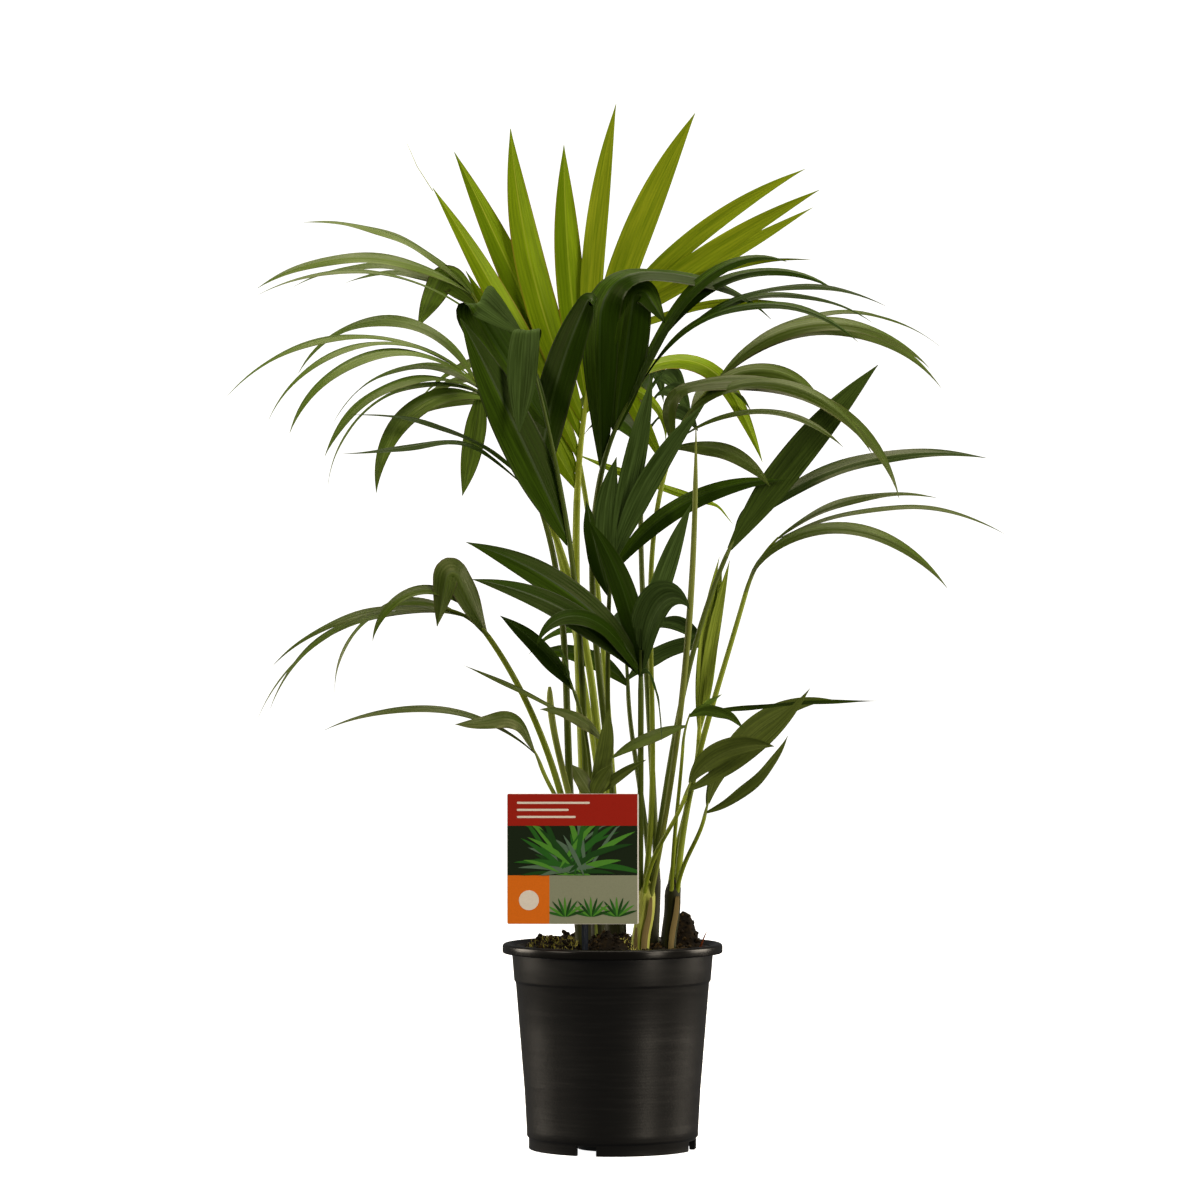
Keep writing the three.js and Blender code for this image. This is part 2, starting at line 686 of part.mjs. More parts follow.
function addPart(parent, name, geometry, colour, roughness) {
  const material = new THREE.MeshStandardMaterial({ color: colour, roughness, metalness: 0 });
  const mesh = new THREE.Mesh(geometry, material);
  mesh.name = name;
  parent.add(mesh);
}

const palm = new THREE.Group();

addPart(palm, "pot", potGeometry(), "#262626", 0.5);
addPart(palm, "soil", soilGeometry(), "#20150c", 0.95);
addPart(palm, "label_card", cardGeometry(), "#e9e6dc", 0.4);
addPart(palm, "label_pick", pickGeometry(), "#1c2430", 0.5);

for (const [name, stem] of Object.entries(STEMS)) {
  addPart(palm, `stem_${name}`, stemGeometry(stem), "#5a5a22", 0.7);
}

for (const frond of FRONDS) {
  addPart(palm, `stalk_${frond.name}`, stalkGeometry(frond), COLOURS.stalk, 0.5);
  addPart(palm, `blade_${frond.name}`, bladeGeometry(frond), COLOURS[frond.colour], 0.45);
}

addPart(palm, "spear", spearGeometry(), "#5f5f2c", 0.6);
addPart(palm, "stalk_stub", stubGeometry(), "#8d8c4c", 0.7);
addPart(palm, "sprout", sproutGeometry(), COLOURS[SPROUT.colour], 0.5);

export default palm;
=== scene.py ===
"""Finishes a young kentia palm in its round nursery pot around the frame of its CAD model.

Lengths are in metres and angles in degrees, +Z up, with the origin under the middle of the pot. An
azimuth is counted from +X toward +Y, and a rise from level. The pot's label faces -Y.
"""

import math
import random
from typing import NamedTuple

import bmesh
import bpy
import numpy as np
from bpy.props import FloatProperty, FloatVectorProperty, IntProperty, PointerProperty
from mathutils import Matrix, Vector, noise


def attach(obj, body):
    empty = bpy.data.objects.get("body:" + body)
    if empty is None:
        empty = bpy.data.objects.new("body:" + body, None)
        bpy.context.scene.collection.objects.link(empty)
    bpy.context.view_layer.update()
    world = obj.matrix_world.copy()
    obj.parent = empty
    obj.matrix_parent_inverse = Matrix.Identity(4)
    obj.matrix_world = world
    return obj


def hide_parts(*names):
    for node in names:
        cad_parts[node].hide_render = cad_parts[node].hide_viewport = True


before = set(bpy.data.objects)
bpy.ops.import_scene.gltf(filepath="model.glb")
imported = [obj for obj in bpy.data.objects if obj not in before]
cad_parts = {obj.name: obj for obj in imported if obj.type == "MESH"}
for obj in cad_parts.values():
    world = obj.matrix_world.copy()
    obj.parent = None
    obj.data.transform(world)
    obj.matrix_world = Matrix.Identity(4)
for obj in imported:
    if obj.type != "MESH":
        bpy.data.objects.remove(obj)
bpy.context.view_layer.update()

bl_info = {
    "name": "Potted kentia palm",
    "version": (1, 0, 0),
    "blender": (4, 5, 0),
    "location": "3D View > Sidebar > Potted palm",
    "description": "Finishes a young kentia palm in its nursery pot",
    "category": "Object",
}

# ---- Sizes and colours a user would change ----


def linear(code):
    """Turns an sRGB hex colour into linear red, green, blue and alpha."""
    shares = [int(code[i : i + 2], 16) / 255 for i in (1, 3, 5)]
    return (*[c / 12.92 if c <= 0.04045 else ((c + 0.055) / 1.055) ** 2.4 for c in shares], 1.0)


def length(name, description, default):
    return FloatProperty(name=name, description=description, default=default, unit="LENGTH", precision=5)


def amount(name, description, default, unit="NONE"):
    return FloatProperty(name=name, description=description, default=default, unit=unit)


def colour(name, description, code):
    return FloatVectorProperty(
        name=name, description=description, default=linear(code), subtype="COLOR", size=4, min=0, max=1
    )


class PotSettings(bpy.types.PropertyGroup):
    """The moulded pot and the soil in it."""

    height: length("Height", "Height of the pot over its feet", 0.177)
    rim_radius: length("Rim radius", "Outer radius of the rolled rim", 0.095)
    collar_radius: length("Collar radius", "Outer radius of the wall under the rim", 0.0875)
    foot_radius: length("Foot radius", "Outer radius of the wall above the foot ring", 0.074)
    wall: length("Wall", "Thickness of the moulded wall", 0.0018)
    notch_width: length("Notch width", "Width of each drain notch in the foot ring", 0.018)
    soil_level: length("Soil level", "Height of the soil in the middle of the pot", 0.172)
    crumbs: IntProperty(name="Crumbs", description="Loose crumbs of peat on the soil", default=2300)
    plastic: colour("Plastic", "Colour of the pot's plastic", "#0e0d0b")
    peat: colour("Peat", "Colour of the damp peat", "#120d06")
    fibre: colour("Fibre", "Colour of the peat's dry fibres", "#37290f")
    moss: colour("Moss", "Colour of the moss on the peat", "#bcb65c")


class LeafSettings(bpy.types.PropertyGroup):
    """The form that all leaflets share."""

    steps: IntProperty(name="Steps", description="Cross-sections along a leaflet", default=30)
    thickness: length("Thickness", "Thickness of a leaflet beside its midrib", 0.0005)
    midrib: length("Midrib", "Height of the midrib over the leaflet's face", 0.0003)
    fold: amount("Fold", "Fall of the edges to half the width", 0.2)
    pleat: amount("Pleat", "Height of the pleats to half the width", 0.028)
    wave: length("Wave", "How far the edges of a leaflet wander up and down", 0.0009)
    hair: amount("Hair tip", "Width of the tip to the full width", 0.02)


class StageSettings(bpy.types.PropertyGroup):
    """The camera and the studio."""

    lens: amount("Lens", "Focal length in mm", 152.7, "CAMERA")
    distance: length("Distance", "From the camera to the pot's axis", 4.396)
    eye_level: length("Eye level", "Height of the camera", 0.4733)
    offset: length("Offset", "The camera's place to the left of the pot's axis", 0.0108)
    key_power: amount("Key light", "Power of the right front softbox", 112, "POWER")
    fill_power: amount("Fill light", "Power of the left front softbox", 60, "POWER")
    side_power: amount("Side light", "Power of each softbox at the sides", 74, "POWER")
    top_power: amount("Top light", "Power of the overhead softbox", 84, "POWER")
    strip_power: amount("Strip light", "Power of the low softbox at the right", 10, "POWER")
    room: amount("Room light", "Strength of the light from all round", 0.08)
    lamp: colour("Lamp", "Colour of the softboxes' light", "#fff2de")
    floor: colour("Floor", "Colour of the floor and the backdrop", "#f4f4f2")


# ---- The plant's plan, the same as its CAD model's ----

CLEARANCE = 0.0003
UP = np.array((0.0, 0.0, 1.0))


class Stem(NamedTuple):
    foot: tuple
    head: tuple
    foot_radius: float
    head_radius: float
    ring: float


# Each stem is one seedling: where it leaves the soil, where it ends under its stalks, its radii, and
# the radius of the ring on its head that the stalks stand on.
STEMS = {
    "left": Stem((-0.022, 0.008), (-0.026, 0.008, 0.236), 0.009, 0.0108, 0.0064),
    "back": Stem((0.003, 0.042), (0.0, 0.044, 0.24), 0.0086, 0.0106, 0.0064),
    "front": Stem((-0.012, -0.026), (-0.013, -0.028, 0.226), 0.005, 0.0062, 0.0036),
    "middle": Stem((0.024, -0.014), (0.029, -0.014, 0.218), 0.0068, 0.0084, 0.0052),
    "right": Stem((0.0475, 0.0), (0.052, 0.0, 0.218), 0.0056, 0.0077, 0.0044),
    "far": Stem((0.034, 0.044), (0.036, 0.048, 0.228), 0.0058, 0.007, 0.0036),
}

STALK_LEAN = 0.14
STALK_HANDLES = (0.4, 0.3)


class Fold(NamedTuple):
    """Where a leaflet folds over: at what share, by how many degrees, over what share, and its turn."""

    at: float = 1.0
    by: float = 0.0
    over: float = 1.0
    turn: float = 0.0


class Frond(NamedTuple):
    name: str
    kind: str
    stem: str
    seat: float
    throat: tuple
    radii: tuple
    rib: tuple
    leaflets: tuple
    handles: tuple = STALK_HANDLES
    lean: float = STALK_LEAN


# stem and seat: the stem that carries the stalk, and the place of the stalk's foot on its ring.
# throat: where the blade begins. radii: the stalk's, at its foot and at the throat.
# rib: azimuth, rise, droop and length. Each leaflet is a row of
# (share along the rib, azimuth, rise, droop, length, width, roll, lateness of the droop), and a Fold
# where it folds over.
# A roll of 0 turns the upper face to the sky, and one of 90 or -90 turns it across the arch.
FRONDS = (
    Frond(
        "newest_fan", "fresh", "left", 66, throat=(-0.031, 0.07, 0.561),
        radii=(0.004, 0.0032), rib=(10, 88, 12, 0.15),
        leaflets=(
            (0.06, 186, 62, 6, 0.12, 0.02, 80, 1),
            (0.15, 176, 63, 4, 0.205, 0.02, 80, 1),
            (0.24, 184, 66, 9, 0.27, 0.022, 84, 1),
            (0.36, 175, 69, 6, 0.276, 0.026, 84, 1),
            (0.46, 182, 66, -20, 0.266, 0.028, 86, 1),
            (0.58, 178, 80, -10, 0.226, 0.025, 88, 1),
            (0.68, 4, 91, 13, 0.248, 0.02, 88, 1),
            (0.78, -4, 74, 14, 0.241, 0.027, 86, 1.3),
            (0.95, 6, 54, 29, 0.24, 0.017, 84, 1),
            (0.97, -8, 40, 14, 0.232, 0.018, 80, 1),
            (1, 10, 34, 6, 0.224, 0.015, 70, 1),
            (0.94, -10, 45, 50, 0.208, 0.009, 50, 1),
            (0.9, 16, 33, 44, 0.204, 0.01, 50, 1),
            (0.55, 10, 37, 34, 0.22, 0.019, -28, 1, Fold(0.5, 74, 0.5, -54)),
            (0.5, -14, 56, 0, 0.128, 0.014, -75, 1, Fold(0.3, 118, 0.34, 0)),
            (0.58, 14, 46, 142, 0.104, 0.011, -75, 1),
            (0.26, 8, -22, -6, 0.152, 0.009, -60, 1, Fold(0.86, 36, 0.1, 0)),
        ),
    ),
    Frond(
        "upper_left", "leaf", "back", 104, throat=(-0.104, 0.084, 0.704),
        radii=(0.0028, 0.0022), rib=(184, 68, 10, 0.044),
        leaflets=(
            (0.95, 172, 54, 58, 0.172, 0.014, 26, 0.9),
            (1, 190, 36, 70, 0.202, 0.016, 42, 1),
            (0.85, 158, 36, 62, 0.186, 0.014, 30, 1),
            (0.2, 198, 43, 72, 0.226, 0.012, 20, 1),
            (0.7, 150, 39, 58, 0.148, 0.012, 25, 1),
            (0.7, 176, 44, 0, 0.09, 0.024, 84, 1, Fold(0.44, 108, 0.2, 0)),
        ),
    ),
    Frond(
        "mid_left", "leaf", "back", 176, throat=(-0.107, 0.026, 0.645),
        radii=(0.0038, 0.0024), rib=(182, 60, 8, 0.026), handles=(0.5, 0.34), lean=0.03,
        leaflets=(
            (0.95, 168, 66, 128, 0.196, 0.017, 34, 1),
            (1, 186, 41, 91, 0.238, 0.015, 20, 1),
            (0.85, 196, 45, 112, 0.22, 0.015, 18, 1),
            (0.65, 204, 43, 114, 0.214, 0.018, 26, 1),
            (0.5, 152, 39, 98, 0.172, 0.016, 26, 1),
            (0.35, 212, 27, 94, 0.188, 0.016, 22, 1),
            (0.25, 160, 29, 113, 0.198, 0.015, 20, 1),
            (0.1, 216, 19, 109, 0.166, 0.018, 50, 1),
            (0.5, 180, -83, -6, 0.094, 0.019, 88, 1),
        ),
    ),
    Frond(
        "thin_left", "dark", "left", 208, throat=(-0.063, -0.024, 0.556),
        radii=(0.0036, 0.0024), rib=(196, 70, 12, 0.016),
        leaflets=(
            (0.9, 190, 54, 58, 0.174, 0.012, 26, 0.8),
            (0.5, 204, 37, -22, 0.192, 0.012, 24, 1, Fold(0.4, 62, 0.5, 0)),
            (0.1, -20, 88, 30, 0.21, 0.034, -84, 1, Fold(0.87, 150, 0.06, 98)),
        ),
    ),
    Frond(
        "front_left", "dark", "left", 322, throat=(-0.036, -0.062, 0.517),
        radii=(0.003, 0.0024), rib=(186, 82, 8, 0.17),
        leaflets=(
            (0.02, 194, 66, 5, 0.214, 0.038, 84, 1),
            (0.62, -40, 129, 0, 0.2, 0.04, 232, 1, Fold(0.68, 163, 0.12, -118)),
            (1, 248, 88, 0, 0.118, 0.029, 180, 1, Fold(0.22, 168, 0.16, 0)),
        ),
    ),
    Frond(
        "dark_centre", "dark", "back", 306, throat=(-0.01, -0.01, 0.581),
        radii=(0.0032, 0.0026), rib=(-4, 78, 26, 0.096),
        leaflets=(
            (0.06, -8, 92, 60, 0.312, 0.033, -84, 3, Fold(0.52, 80, 0.26, 62)),
            (0.42, -12, 82, 0, 0.162, 0.038, -84, 1, Fold(0.76, 140, 0.14, 30)),
            (0.6, -18, 66, 88, 0.214, 0.018, -52, 2.4),
            (0.75, -12, 74, 110, 0.236, 0.015, -50, 1.3),
            (0.95, -22, 59, 86, 0.249, 0.012, -32, 0.95),
            (1, -8, 62, 98, 0.228, 0.012, -32, 1),
            (0.9, -28, 59, 101, 0.238, 0.013, -36, 1),
        ),
    ),
    Frond(
        "inner_centre", "dark", "back", 244, throat=(-0.003, -0.04, 0.473),
        radii=(0.0024, 0.002), rib=(0, 88, 12, 0.056),
        leaflets=(
            (0.1, 0, 100, 26, 0.118, 0.022, 88, 1),
            (0.06, 196, 72, -8, 0.084, 0.018, 84, 1),
            (0.5, -6, 78, 0, 0.168, 0.02, 86, 1),
            (0.55, -16, 71, 24, 0.162, 0.019, 84, 1),
            (0.4, 10, 58, 60, 0.18, 0.018, -64, 1),
        ),
    ),
    Frond(
        "long_right", "leaf", "middle", 114, throat=(0.051, -0.008, 0.602),
        radii=(0.0026, 0.0021), rib=(30, 68, 32, 0.082),
        leaflets=(
            (0.05, -10, 100, 100, 0.29, 0.026, -86, 1.45, Fold(0.15, 78, 0.16, 56)),
            (0.08, -20, 84, 145, 0.224, 0.016, -44, 0.68),
            (0.72, -4, 44, 108, 0.122, 0.018, -62, 1.1),
            (0.08, -34, 37, 78, 0.184, 0.011, -30, 1),
            (0, -38, 6, 56, 0.114, 0.016, -55, 1.3),
            (1, 10, 54, 101, 0.214, 0.018, -48, 1),
            (0.95, 20, 50, 102, 0.242, 0.018, -44, 1),
            (1, 30, 50, 83, 0.254, 0.011, -28, 1),
            (0.5, 60, 46, 90, 0.12, 0.018, -30, 1),
        ),
    ),
    Frond(
        "broad_right", "dark", "middle", 44, throat=(0.098, -0.006, 0.511),
        radii=(0.0028, 0.0021), rib=(8, 66, 6, 0.022),
        leaflets=(
            (0.3, -6, 57, 12, 0.204, 0.027, 88, 1),
            (0.9, 16, 50, 60, 0.25, 0.016, -44, 0.8),
            (0.6, 66, 56, 70, 0.15, 0.02, 30, 1),
        ),
    ),
    Frond(
        "low_right", "leaf", "right", 40, throat=(0.1155, 0.01, 0.48),
        radii=(0.0032, 0.0021), rib=(6, 74, 30, 0.056), handles=(0.36, 0.4), lean=0.06,
        leaflets=(
            (0.1, -12, 88, 142, 0.214, 0.017, -40, 0.62),
            (1, 14, 40, 52, 0.154, 0.012, -28, 1),
            (0.95, -4, 25, 57, 0.206, 0.011, -24, 1.4),
        ),
    ),
    Frond(
        "furled_right", "fresh", "right", 130, throat=(0.075, 0.022, 0.352),
        radii=(0.0027, 0.0022), rib=(0, 88, 4, 0.04),
        leaflets=(
            (0, 0, 91, 15, 0.158, 0.009, 85, 1),
            (0.02, 10, 88, 12, 0.158, 0.012, 88, 1),
            (0.05, -10, 84, 8, 0.156, 0.011, 84, 1),
            (0.05, 0, 79, -7, 0.152, 0.008, 70, 1),
        ),
    ),
    Frond(
        "front_fan", "dark", "middle", 190, throat=(0.024, -0.06, 0.397),
        radii=(0.0027, 0.0026), rib=(270, 86, 10, 0.034),
        leaflets=(
            (0.5, 192, 60, 44, 0.19, 0.026, 80, 0.8),
            (0.35, 202, 53, 45, 0.178, 0.023, 70, 0.8),
            (0.3, 212, 58, 130, 0.136, 0.017, 60, 1.9),
            (0.4, -50, 84, 150, 0.114, 0.034, 80, 2.2),
            (0.6, 170, 81, 26, 0.134, 0.021, 84, 1.3),
            (0.7, 8, 79, 14, 0.142, 0.019, 84, 1),
            (0.3, -76, 50, 138, 0.108, 0.007, 60, 0.6),
        ),
    ),
    Frond(
        "low_left", "leaf", "left", 140, throat=(-0.107, -0.02, 0.442),
        radii=(0.0032, 0.0024), rib=(184, 54, 44, 0.046), handles=(0.42, 0.22),
        leaflets=(
            (0.04, 210, 62, 0, 0.116, 0.026, 78, 1, Fold(0.56, 140, 0.18, 0)),
            (0.25, 208, 66, 146, 0.136, 0.012, 38, 1),
            (0.5, 190, 20, 67, 0.184, 0.011, 24, 1),
            (0.6, 172, 12, 80, 0.218, 0.011, 22, 1.1),
            (0.8, 182, 12, 84, 0.196, 0.011, 22, 1.1),
            (0.8, 154, 24, 116, 0.164, 0.013, 44, 1.1),
        ),
    ),
    Frond(
        "lowest_left", "grey", "front", 176, throat=(-0.062, -0.042, 0.333),
        radii=(0.0022, 0.0018), rib=(190, 70, 10, 0.014),
        leaflets=(
            (0.6, 188, 48, 74, 0.195, 0.013, 24, 0.8),
            (0.9, 200, 62, -26, 0.086, 0.016, 60, 1, Fold(0.36, 88, 0.44, 0)),
        ),
    ),
    Frond(
        "small_left", "grey", "front", 310, throat=(-0.007, -0.046, 0.346),
        radii=(0.0019, 0.0016), rib=(200, 78, 10, 0.01),
        leaflets=(
            (0.5, 196, 62, 62, 0.066, 0.012, 60, 0.8),
            (0.9, 186, 48, 26, 0.134, 0.007, 40, 0.3),
        ),
    ),
    Frond(
        "small_right", "leaf", "right", 255, throat=(0.06, -0.052, 0.349),
        radii=(0.0019, 0.0015), rib=(10, 86, 18, 0.028),
        leaflets=(
            (0.6, 200, -10, 24, 0.076, 0.011, 60, 1),
            (0.9, -20, 34, 92, 0.056, 0.012, 60, 1),
            (1, 20, 32, 4, 0.034, 0.007, 50, 1),
            (1, 4, 9, 10, 0.162, 0.009, 26, 1),
        ),
    ),
    Frond(
        "lower_right_front", "leaf", "middle", 252, throat=(0.062, -0.062, 0.307),
        radii=(0.0021, 0.0017), rib=(0, 72, 6, 0.012),
        leaflets=(
            (0.9, -24, 66, 78, 0.09, 0.019, 80, 0.8),
            (0.3, -8, 28, -26, 0.138, 0.014, 80, 1.2),
        ),
    ),
    Frond(
        "lower_right_back", "leaf", "right", 320, throat=(0.079, -0.028, 0.288),
        radii=(0.0021, 0.0017), rib=(0, 78, 6, 0.012),
        leaflets=(
            (0.9, 12, 76, 78, 0.153, 0.019, 80, 1.1),
            (0.2, -10, 22, -42, 0.1, 0.011, 60, 1),
            (0.6, 80, 60, 60, 0.1, 0.015, 50, 1),
        ),
    ),
    Frond(
        "small_dark", "dark", "front", 88, throat=(-0.032, -0.046, 0.392),
        radii=(0.0019, 0.0016), rib=(190, 70, 6, 0.01),
        leaflets=(
            (0.5, 190, 58, 26, 0.09, 0.017, 70, 1),
            (0.9, 256, 66, 60, 0.06, 0.014, 60, 1),
        ),
    ),
    Frond(
        "back_left", "leaf", "back", 40, throat=(-0.03, 0.118, 0.6),
        radii=(0.003, 0.0022), rib=(116, 66, 40, 0.11),
        leaflets=(
            (0.2, 172, 48, 80, 0.15, 0.02, 40, 1),
            (0.25, 80, 50, 90, 0.15, 0.02, 40, 1),
            (0.5, 160, 46, 90, 0.16, 0.02, 40, 1),
            (0.55, 88, 44, 90, 0.16, 0.02, 40, 1),
            (0.8, 146, 40, 90, 0.165, 0.02, 40, 1),
            (0.85, 100, 38, 90, 0.16, 0.02, 40, 1),
            (1, 124, 40, 80, 0.16, 0.016, 40, 1),
        ),
    ),
    Frond(
        "back_centre", "dark", "far", 40, throat=(0.026, 0.112, 0.59),
        radii=(0.003, 0.0022), rib=(84, 68, 40, 0.1),
        leaflets=(
            (0.2, 118, 52, 90, 0.126, 0.02, 40, 1),
            (0.25, 64, 52, 90, 0.13, 0.02, 40, 1),
            (0.5, 108, 50, 90, 0.13, 0.02, 40, 1),
            (0.55, 70, 48, 90, 0.14, 0.02, 40, 1),
            (0.8, 98, 42, 90, 0.15, 0.02, 40, 1),
            (0.85, 74, 42, 90, 0.15, 0.02, 40, 1),
            (1, 84, 38, 80, 0.16, 0.016, 40, 1),
        ),
    ),
    Frond(
        "back_low", "dark", "far", 215, throat=(0.014, 0.092, 0.392),
        radii=(0.0026, 0.002), rib=(96, 70, 30, 0.06),
        leaflets=(
            (0.1, 176, 50, 60, 0.09, 0.018, 60, 1),
            (0.2, 10, 52, 60, 0.09, 0.018, 60, 1),
            (0.6, 140, 50, 100, 0.13, 0.018, 40, 1),
            (0.7, 50, 50, 100, 0.13, 0.018, 40, 1),
            (1, 96, 44, 100, 0.14, 0.018, 40, 1),
        ),
    ),
)


class Rod(NamedTuple):
    """A stalk with no blade: the stem that carries it, its seat there, its tip, radii and lean."""

    stem: str
    seat: float
    throat: tuple
    radii: tuple
    lean: float = STALK_LEAN
    handles: tuple = STALK_HANDLES


STUB = Rod("left", 274, (-0.054, -0.03, 0.399), (0.0024, 0.0032))
SPEAR = Rod("middle", 322, (0.071, -0.056, 0.62), (0.0026, 0.0034, 0.0026, 0.0005), 0.28)
SPEAR_BELLY = 0.6
SPEAR_NECK = 0.88
SPROUT = Rod("front", 244, (-0.017, -0.056, 0.306), (0.0018, 0.0015))
SPROUT_LOBES_AT = 0.98
SPROUT_LOBES = (
    (200, 62, 10, 0.034, 0.015, 80, 1),
    (-30, 62, 10, 0.034, 0.015, 80, 1),
    (-12, 70, -20, 0.078, 0.015, 84, 1),
    (-22, 44, 20, 0.06, 0.009, 70, 1),
)

# ---- Meshes ----


class Pile:
    """Gathers closed bodies into one mesh, with a finish and a UV place for each face."""

    def __init__(self):
        self.points = []
        self.faces = []
        self.places = []
        self.finishes = []

    def add_face(self, face, place, inside_out, finish):
        if inside_out:
            face, place = face[::-1], place[::-1]
        self.faces.append(face)
        self.places.extend(place)
        self.finishes.append(finish)

    def add(self, points, faces, places, finish):
        """Adds one closed body of one finish and turns it so that its faces look out."""
        points = np.asarray(points, dtype=float)
        centre = points.mean(axis=0)
        volume = 0.0
        for face in faces:
            corners = points[list(face)] - centre
            for i in range(1, len(face) - 1):
                volume += np.dot(corners[0], np.cross(corners[i], corners[i + 1]))
        base = len(self.points)
        for face, place in zip(faces, places):
            self.add_face([base + i for i in face], place, volume < 0, finish)
        self.points.extend(points.tolist())

    def loft(self, rings, across, along, finishes):
        """Closes a row of rings into one body.

        across gives the UV place of each corner of a ring and of its return to the first one, along
        that of each ring, and finishes the finish of each strip, or a finish for each ring and strip.
        """
        steps, sides = rings.shape[:2]
        table = np.broadcast_to(np.asarray(finishes), (steps - 1, sides))
        first, second = rings[:-1], rings[1:]
        turned, turned_on = np.roll(first, -1, axis=1), np.roll(second, -1, axis=1)
        centre = rings.reshape(-1, 3).mean(axis=0)
        volume = np.sum((first - centre) * np.cross(turned - centre, turned_on - centre))
        volume += np.sum((first - centre) * np.cross(turned_on - centre, second - centre))
        inside_out = volume < 0
        base = len(self.points)
        for i in range(steps - 1):
            for j in range(sides):
                k = (j + 1) % sides
                face = [base + i * sides + j, base + i * sides + k]
                face += [base + (i + 1) * sides + k, base + (i + 1) * sides + j]
                place = [(across[j], along[i]), (across[j + 1], along[i])]
                place += [(across[j + 1], along[i + 1]), (across[j], along[i + 1])]
                self.add_face(face, place, inside_out, int(table[i, j]))
        start = [base + j for j in range(sides)][::-1]
        start_place = [(across[j], along[0]) for j in range(sides)][::-1]
        self.add_face(start, start_place, inside_out, int(table[0, 0]))
        end = [base + (steps - 1) * sides + j for j in range(sides)]
        end_place = [(across[j], along[-1]) for j in range(sides)]
        self.add_face(end, end_place, inside_out, int(table[-1, 0]))
        self.points.extend(rings.reshape(-1, 3).tolist())

    def build(self, name, materials, sharp=50):
        """Makes one smooth object of all the bodies, with edges sharper than the angle left crisp."""
        mesh = bpy.data.meshes.new(name)
        mesh.from_pydata(self.points, [], self.faces)
        for material in materials:
            mesh.materials.append(material)
        mesh.polygons.foreach_set("material_index", self.finishes)
        layer = mesh.uv_layers.new(name="along")
        layer.data.foreach_set("uv", np.asarray(self.places, dtype=np.float32).ravel())
        return finished_object(name, mesh, sharp)


def finished_object(name, mesh, sharp=50):
    """Makes a smooth object of a mesh, with edges sharper than the angle left crisp."""
    mesh.shade_smooth()
    mesh.set_sharp_from_angle(angle=math.radians(sharp))
    piece = bpy.data.objects.new(name, mesh)
    bpy.context.scene.collection.objects.link(piece)
    return piece


def place_on_plant(piece, slot, *nodes):
    """Says what a finished piece rides on and hides the CAD parts that it stands for. The slot is not used.
    """
    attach(piece, "root")
    if nodes:
        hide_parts(*nodes)


def turned_rings(path, radii, sides, shape=None, start_side=(0.0, -1.0, 0.0)):
    """Rings of a rod along a path. shape(angle) scales the radius round the rod, from start_side on."""
    path = np.asarray(path, dtype=float)
    tangents = np.gradient(path, axis=0)
    tangents /= np.linalg.norm(tangents, axis=1)[:, None]
    side = np.asarray(start_side, dtype=float)
    angles = np.arange(sides) * math.tau / sides
    scale = np.array([shape(angle) if shape else 1.0 for angle in angles])
    rings = []
    for place, tangent, radius in zip(path, tangents, radii):
        side = side - tangent * np.dot(side, tangent)
        side /= np.linalg.norm(side)
        other = np.cross(tangent, side)
        spread = radius * scale
        ring = place + np.outer(np.cos(angles) * spread, side) + np.outer(np.sin(angles) * spread, other)
        rings.append(ring)
    return np.array(rings)


def lengths_along(path):
    return np.concatenate(([0.0], np.cumsum(np.linalg.norm(np.diff(path, axis=0), axis=1))))


def add_rod(pile, path, radii, sides, finishes, shape=None):
    """Adds a rod with UVs in metres round and along it."""
    rings = turned_rings(path, radii, sides, shape)
    along = lengths_along(path)
    girth = math.tau * max(radii)
    across = np.linspace(0, girth, sides + 1)
    pile.loft(rings, across, along, finishes)


# ---- Curves of the plant ----


def heading(azimuth, rise):
    azimuth, rise = math.radians(azimuth), math.radians(rise)
    level = math.cos(rise)
    return np.array((level * math.cos(azimuth), level * math.sin(azimuth), math.sin(rise)))


class Arch:
    """A rib that leaves its start at a rise and sinks under its own weight, in one upright plane."""

    slices = 180

    def __init__(self, start, azimuth, rise, droop, length, late=1.0, fold=Fold()):
        self.azimuth, self.rise, self.droop, self.late, self.fold = azimuth, rise, droop, late, fold
        middles = (np.arange(self.slices) + 0.5) / self.slices
        strides = np.array([heading(azimuth, self.rise_at(share)) for share in middles])
        strides *= length / self.slices
        self.places = np.vstack((start, start + np.cumsum(strides, axis=0)))

    def folded_at(self, share):
        past = (share - self.fold.at) / self.fold.over + 0.5
        past = min(1.0, max(0.0, past))
        return past * past * (3 - 2 * past)

    def rise_at(self, share):
        return self.rise - self.droop * share**self.late - self.fold.by * self.folded_at(share)

    def point(self, share):
        shares = np.linspace(0, 1, self.slices + 1)
        return np.array([np.interp(share, shares, self.places[:, axis]) for axis in range(3)])

    def sideways(self):
        azimuth = math.radians(self.azimuth)
        return np.array((math.sin(azimuth), -math.cos(azimuth), 0.0))


def blend(a, b, share):
    return a + (b - a) * share


def bezier(start, lower, upper, end, steps):
    share = np.linspace(0, 1, steps + 1)[:, None]
    rest = 1 - share
    return rest**3 * start + 3 * rest**2 * share * lower + 3 * rest * share**2 * upper + share**3 * end


def stem_path(stem, steps, soil_level):
    foot = np.array((*stem.foot, soil_level))
    head = np.array(stem.head)
    handle = UP * (head[2] - foot[2]) / 2
    return bezier(foot, foot + handle, head - handle, head, steps)


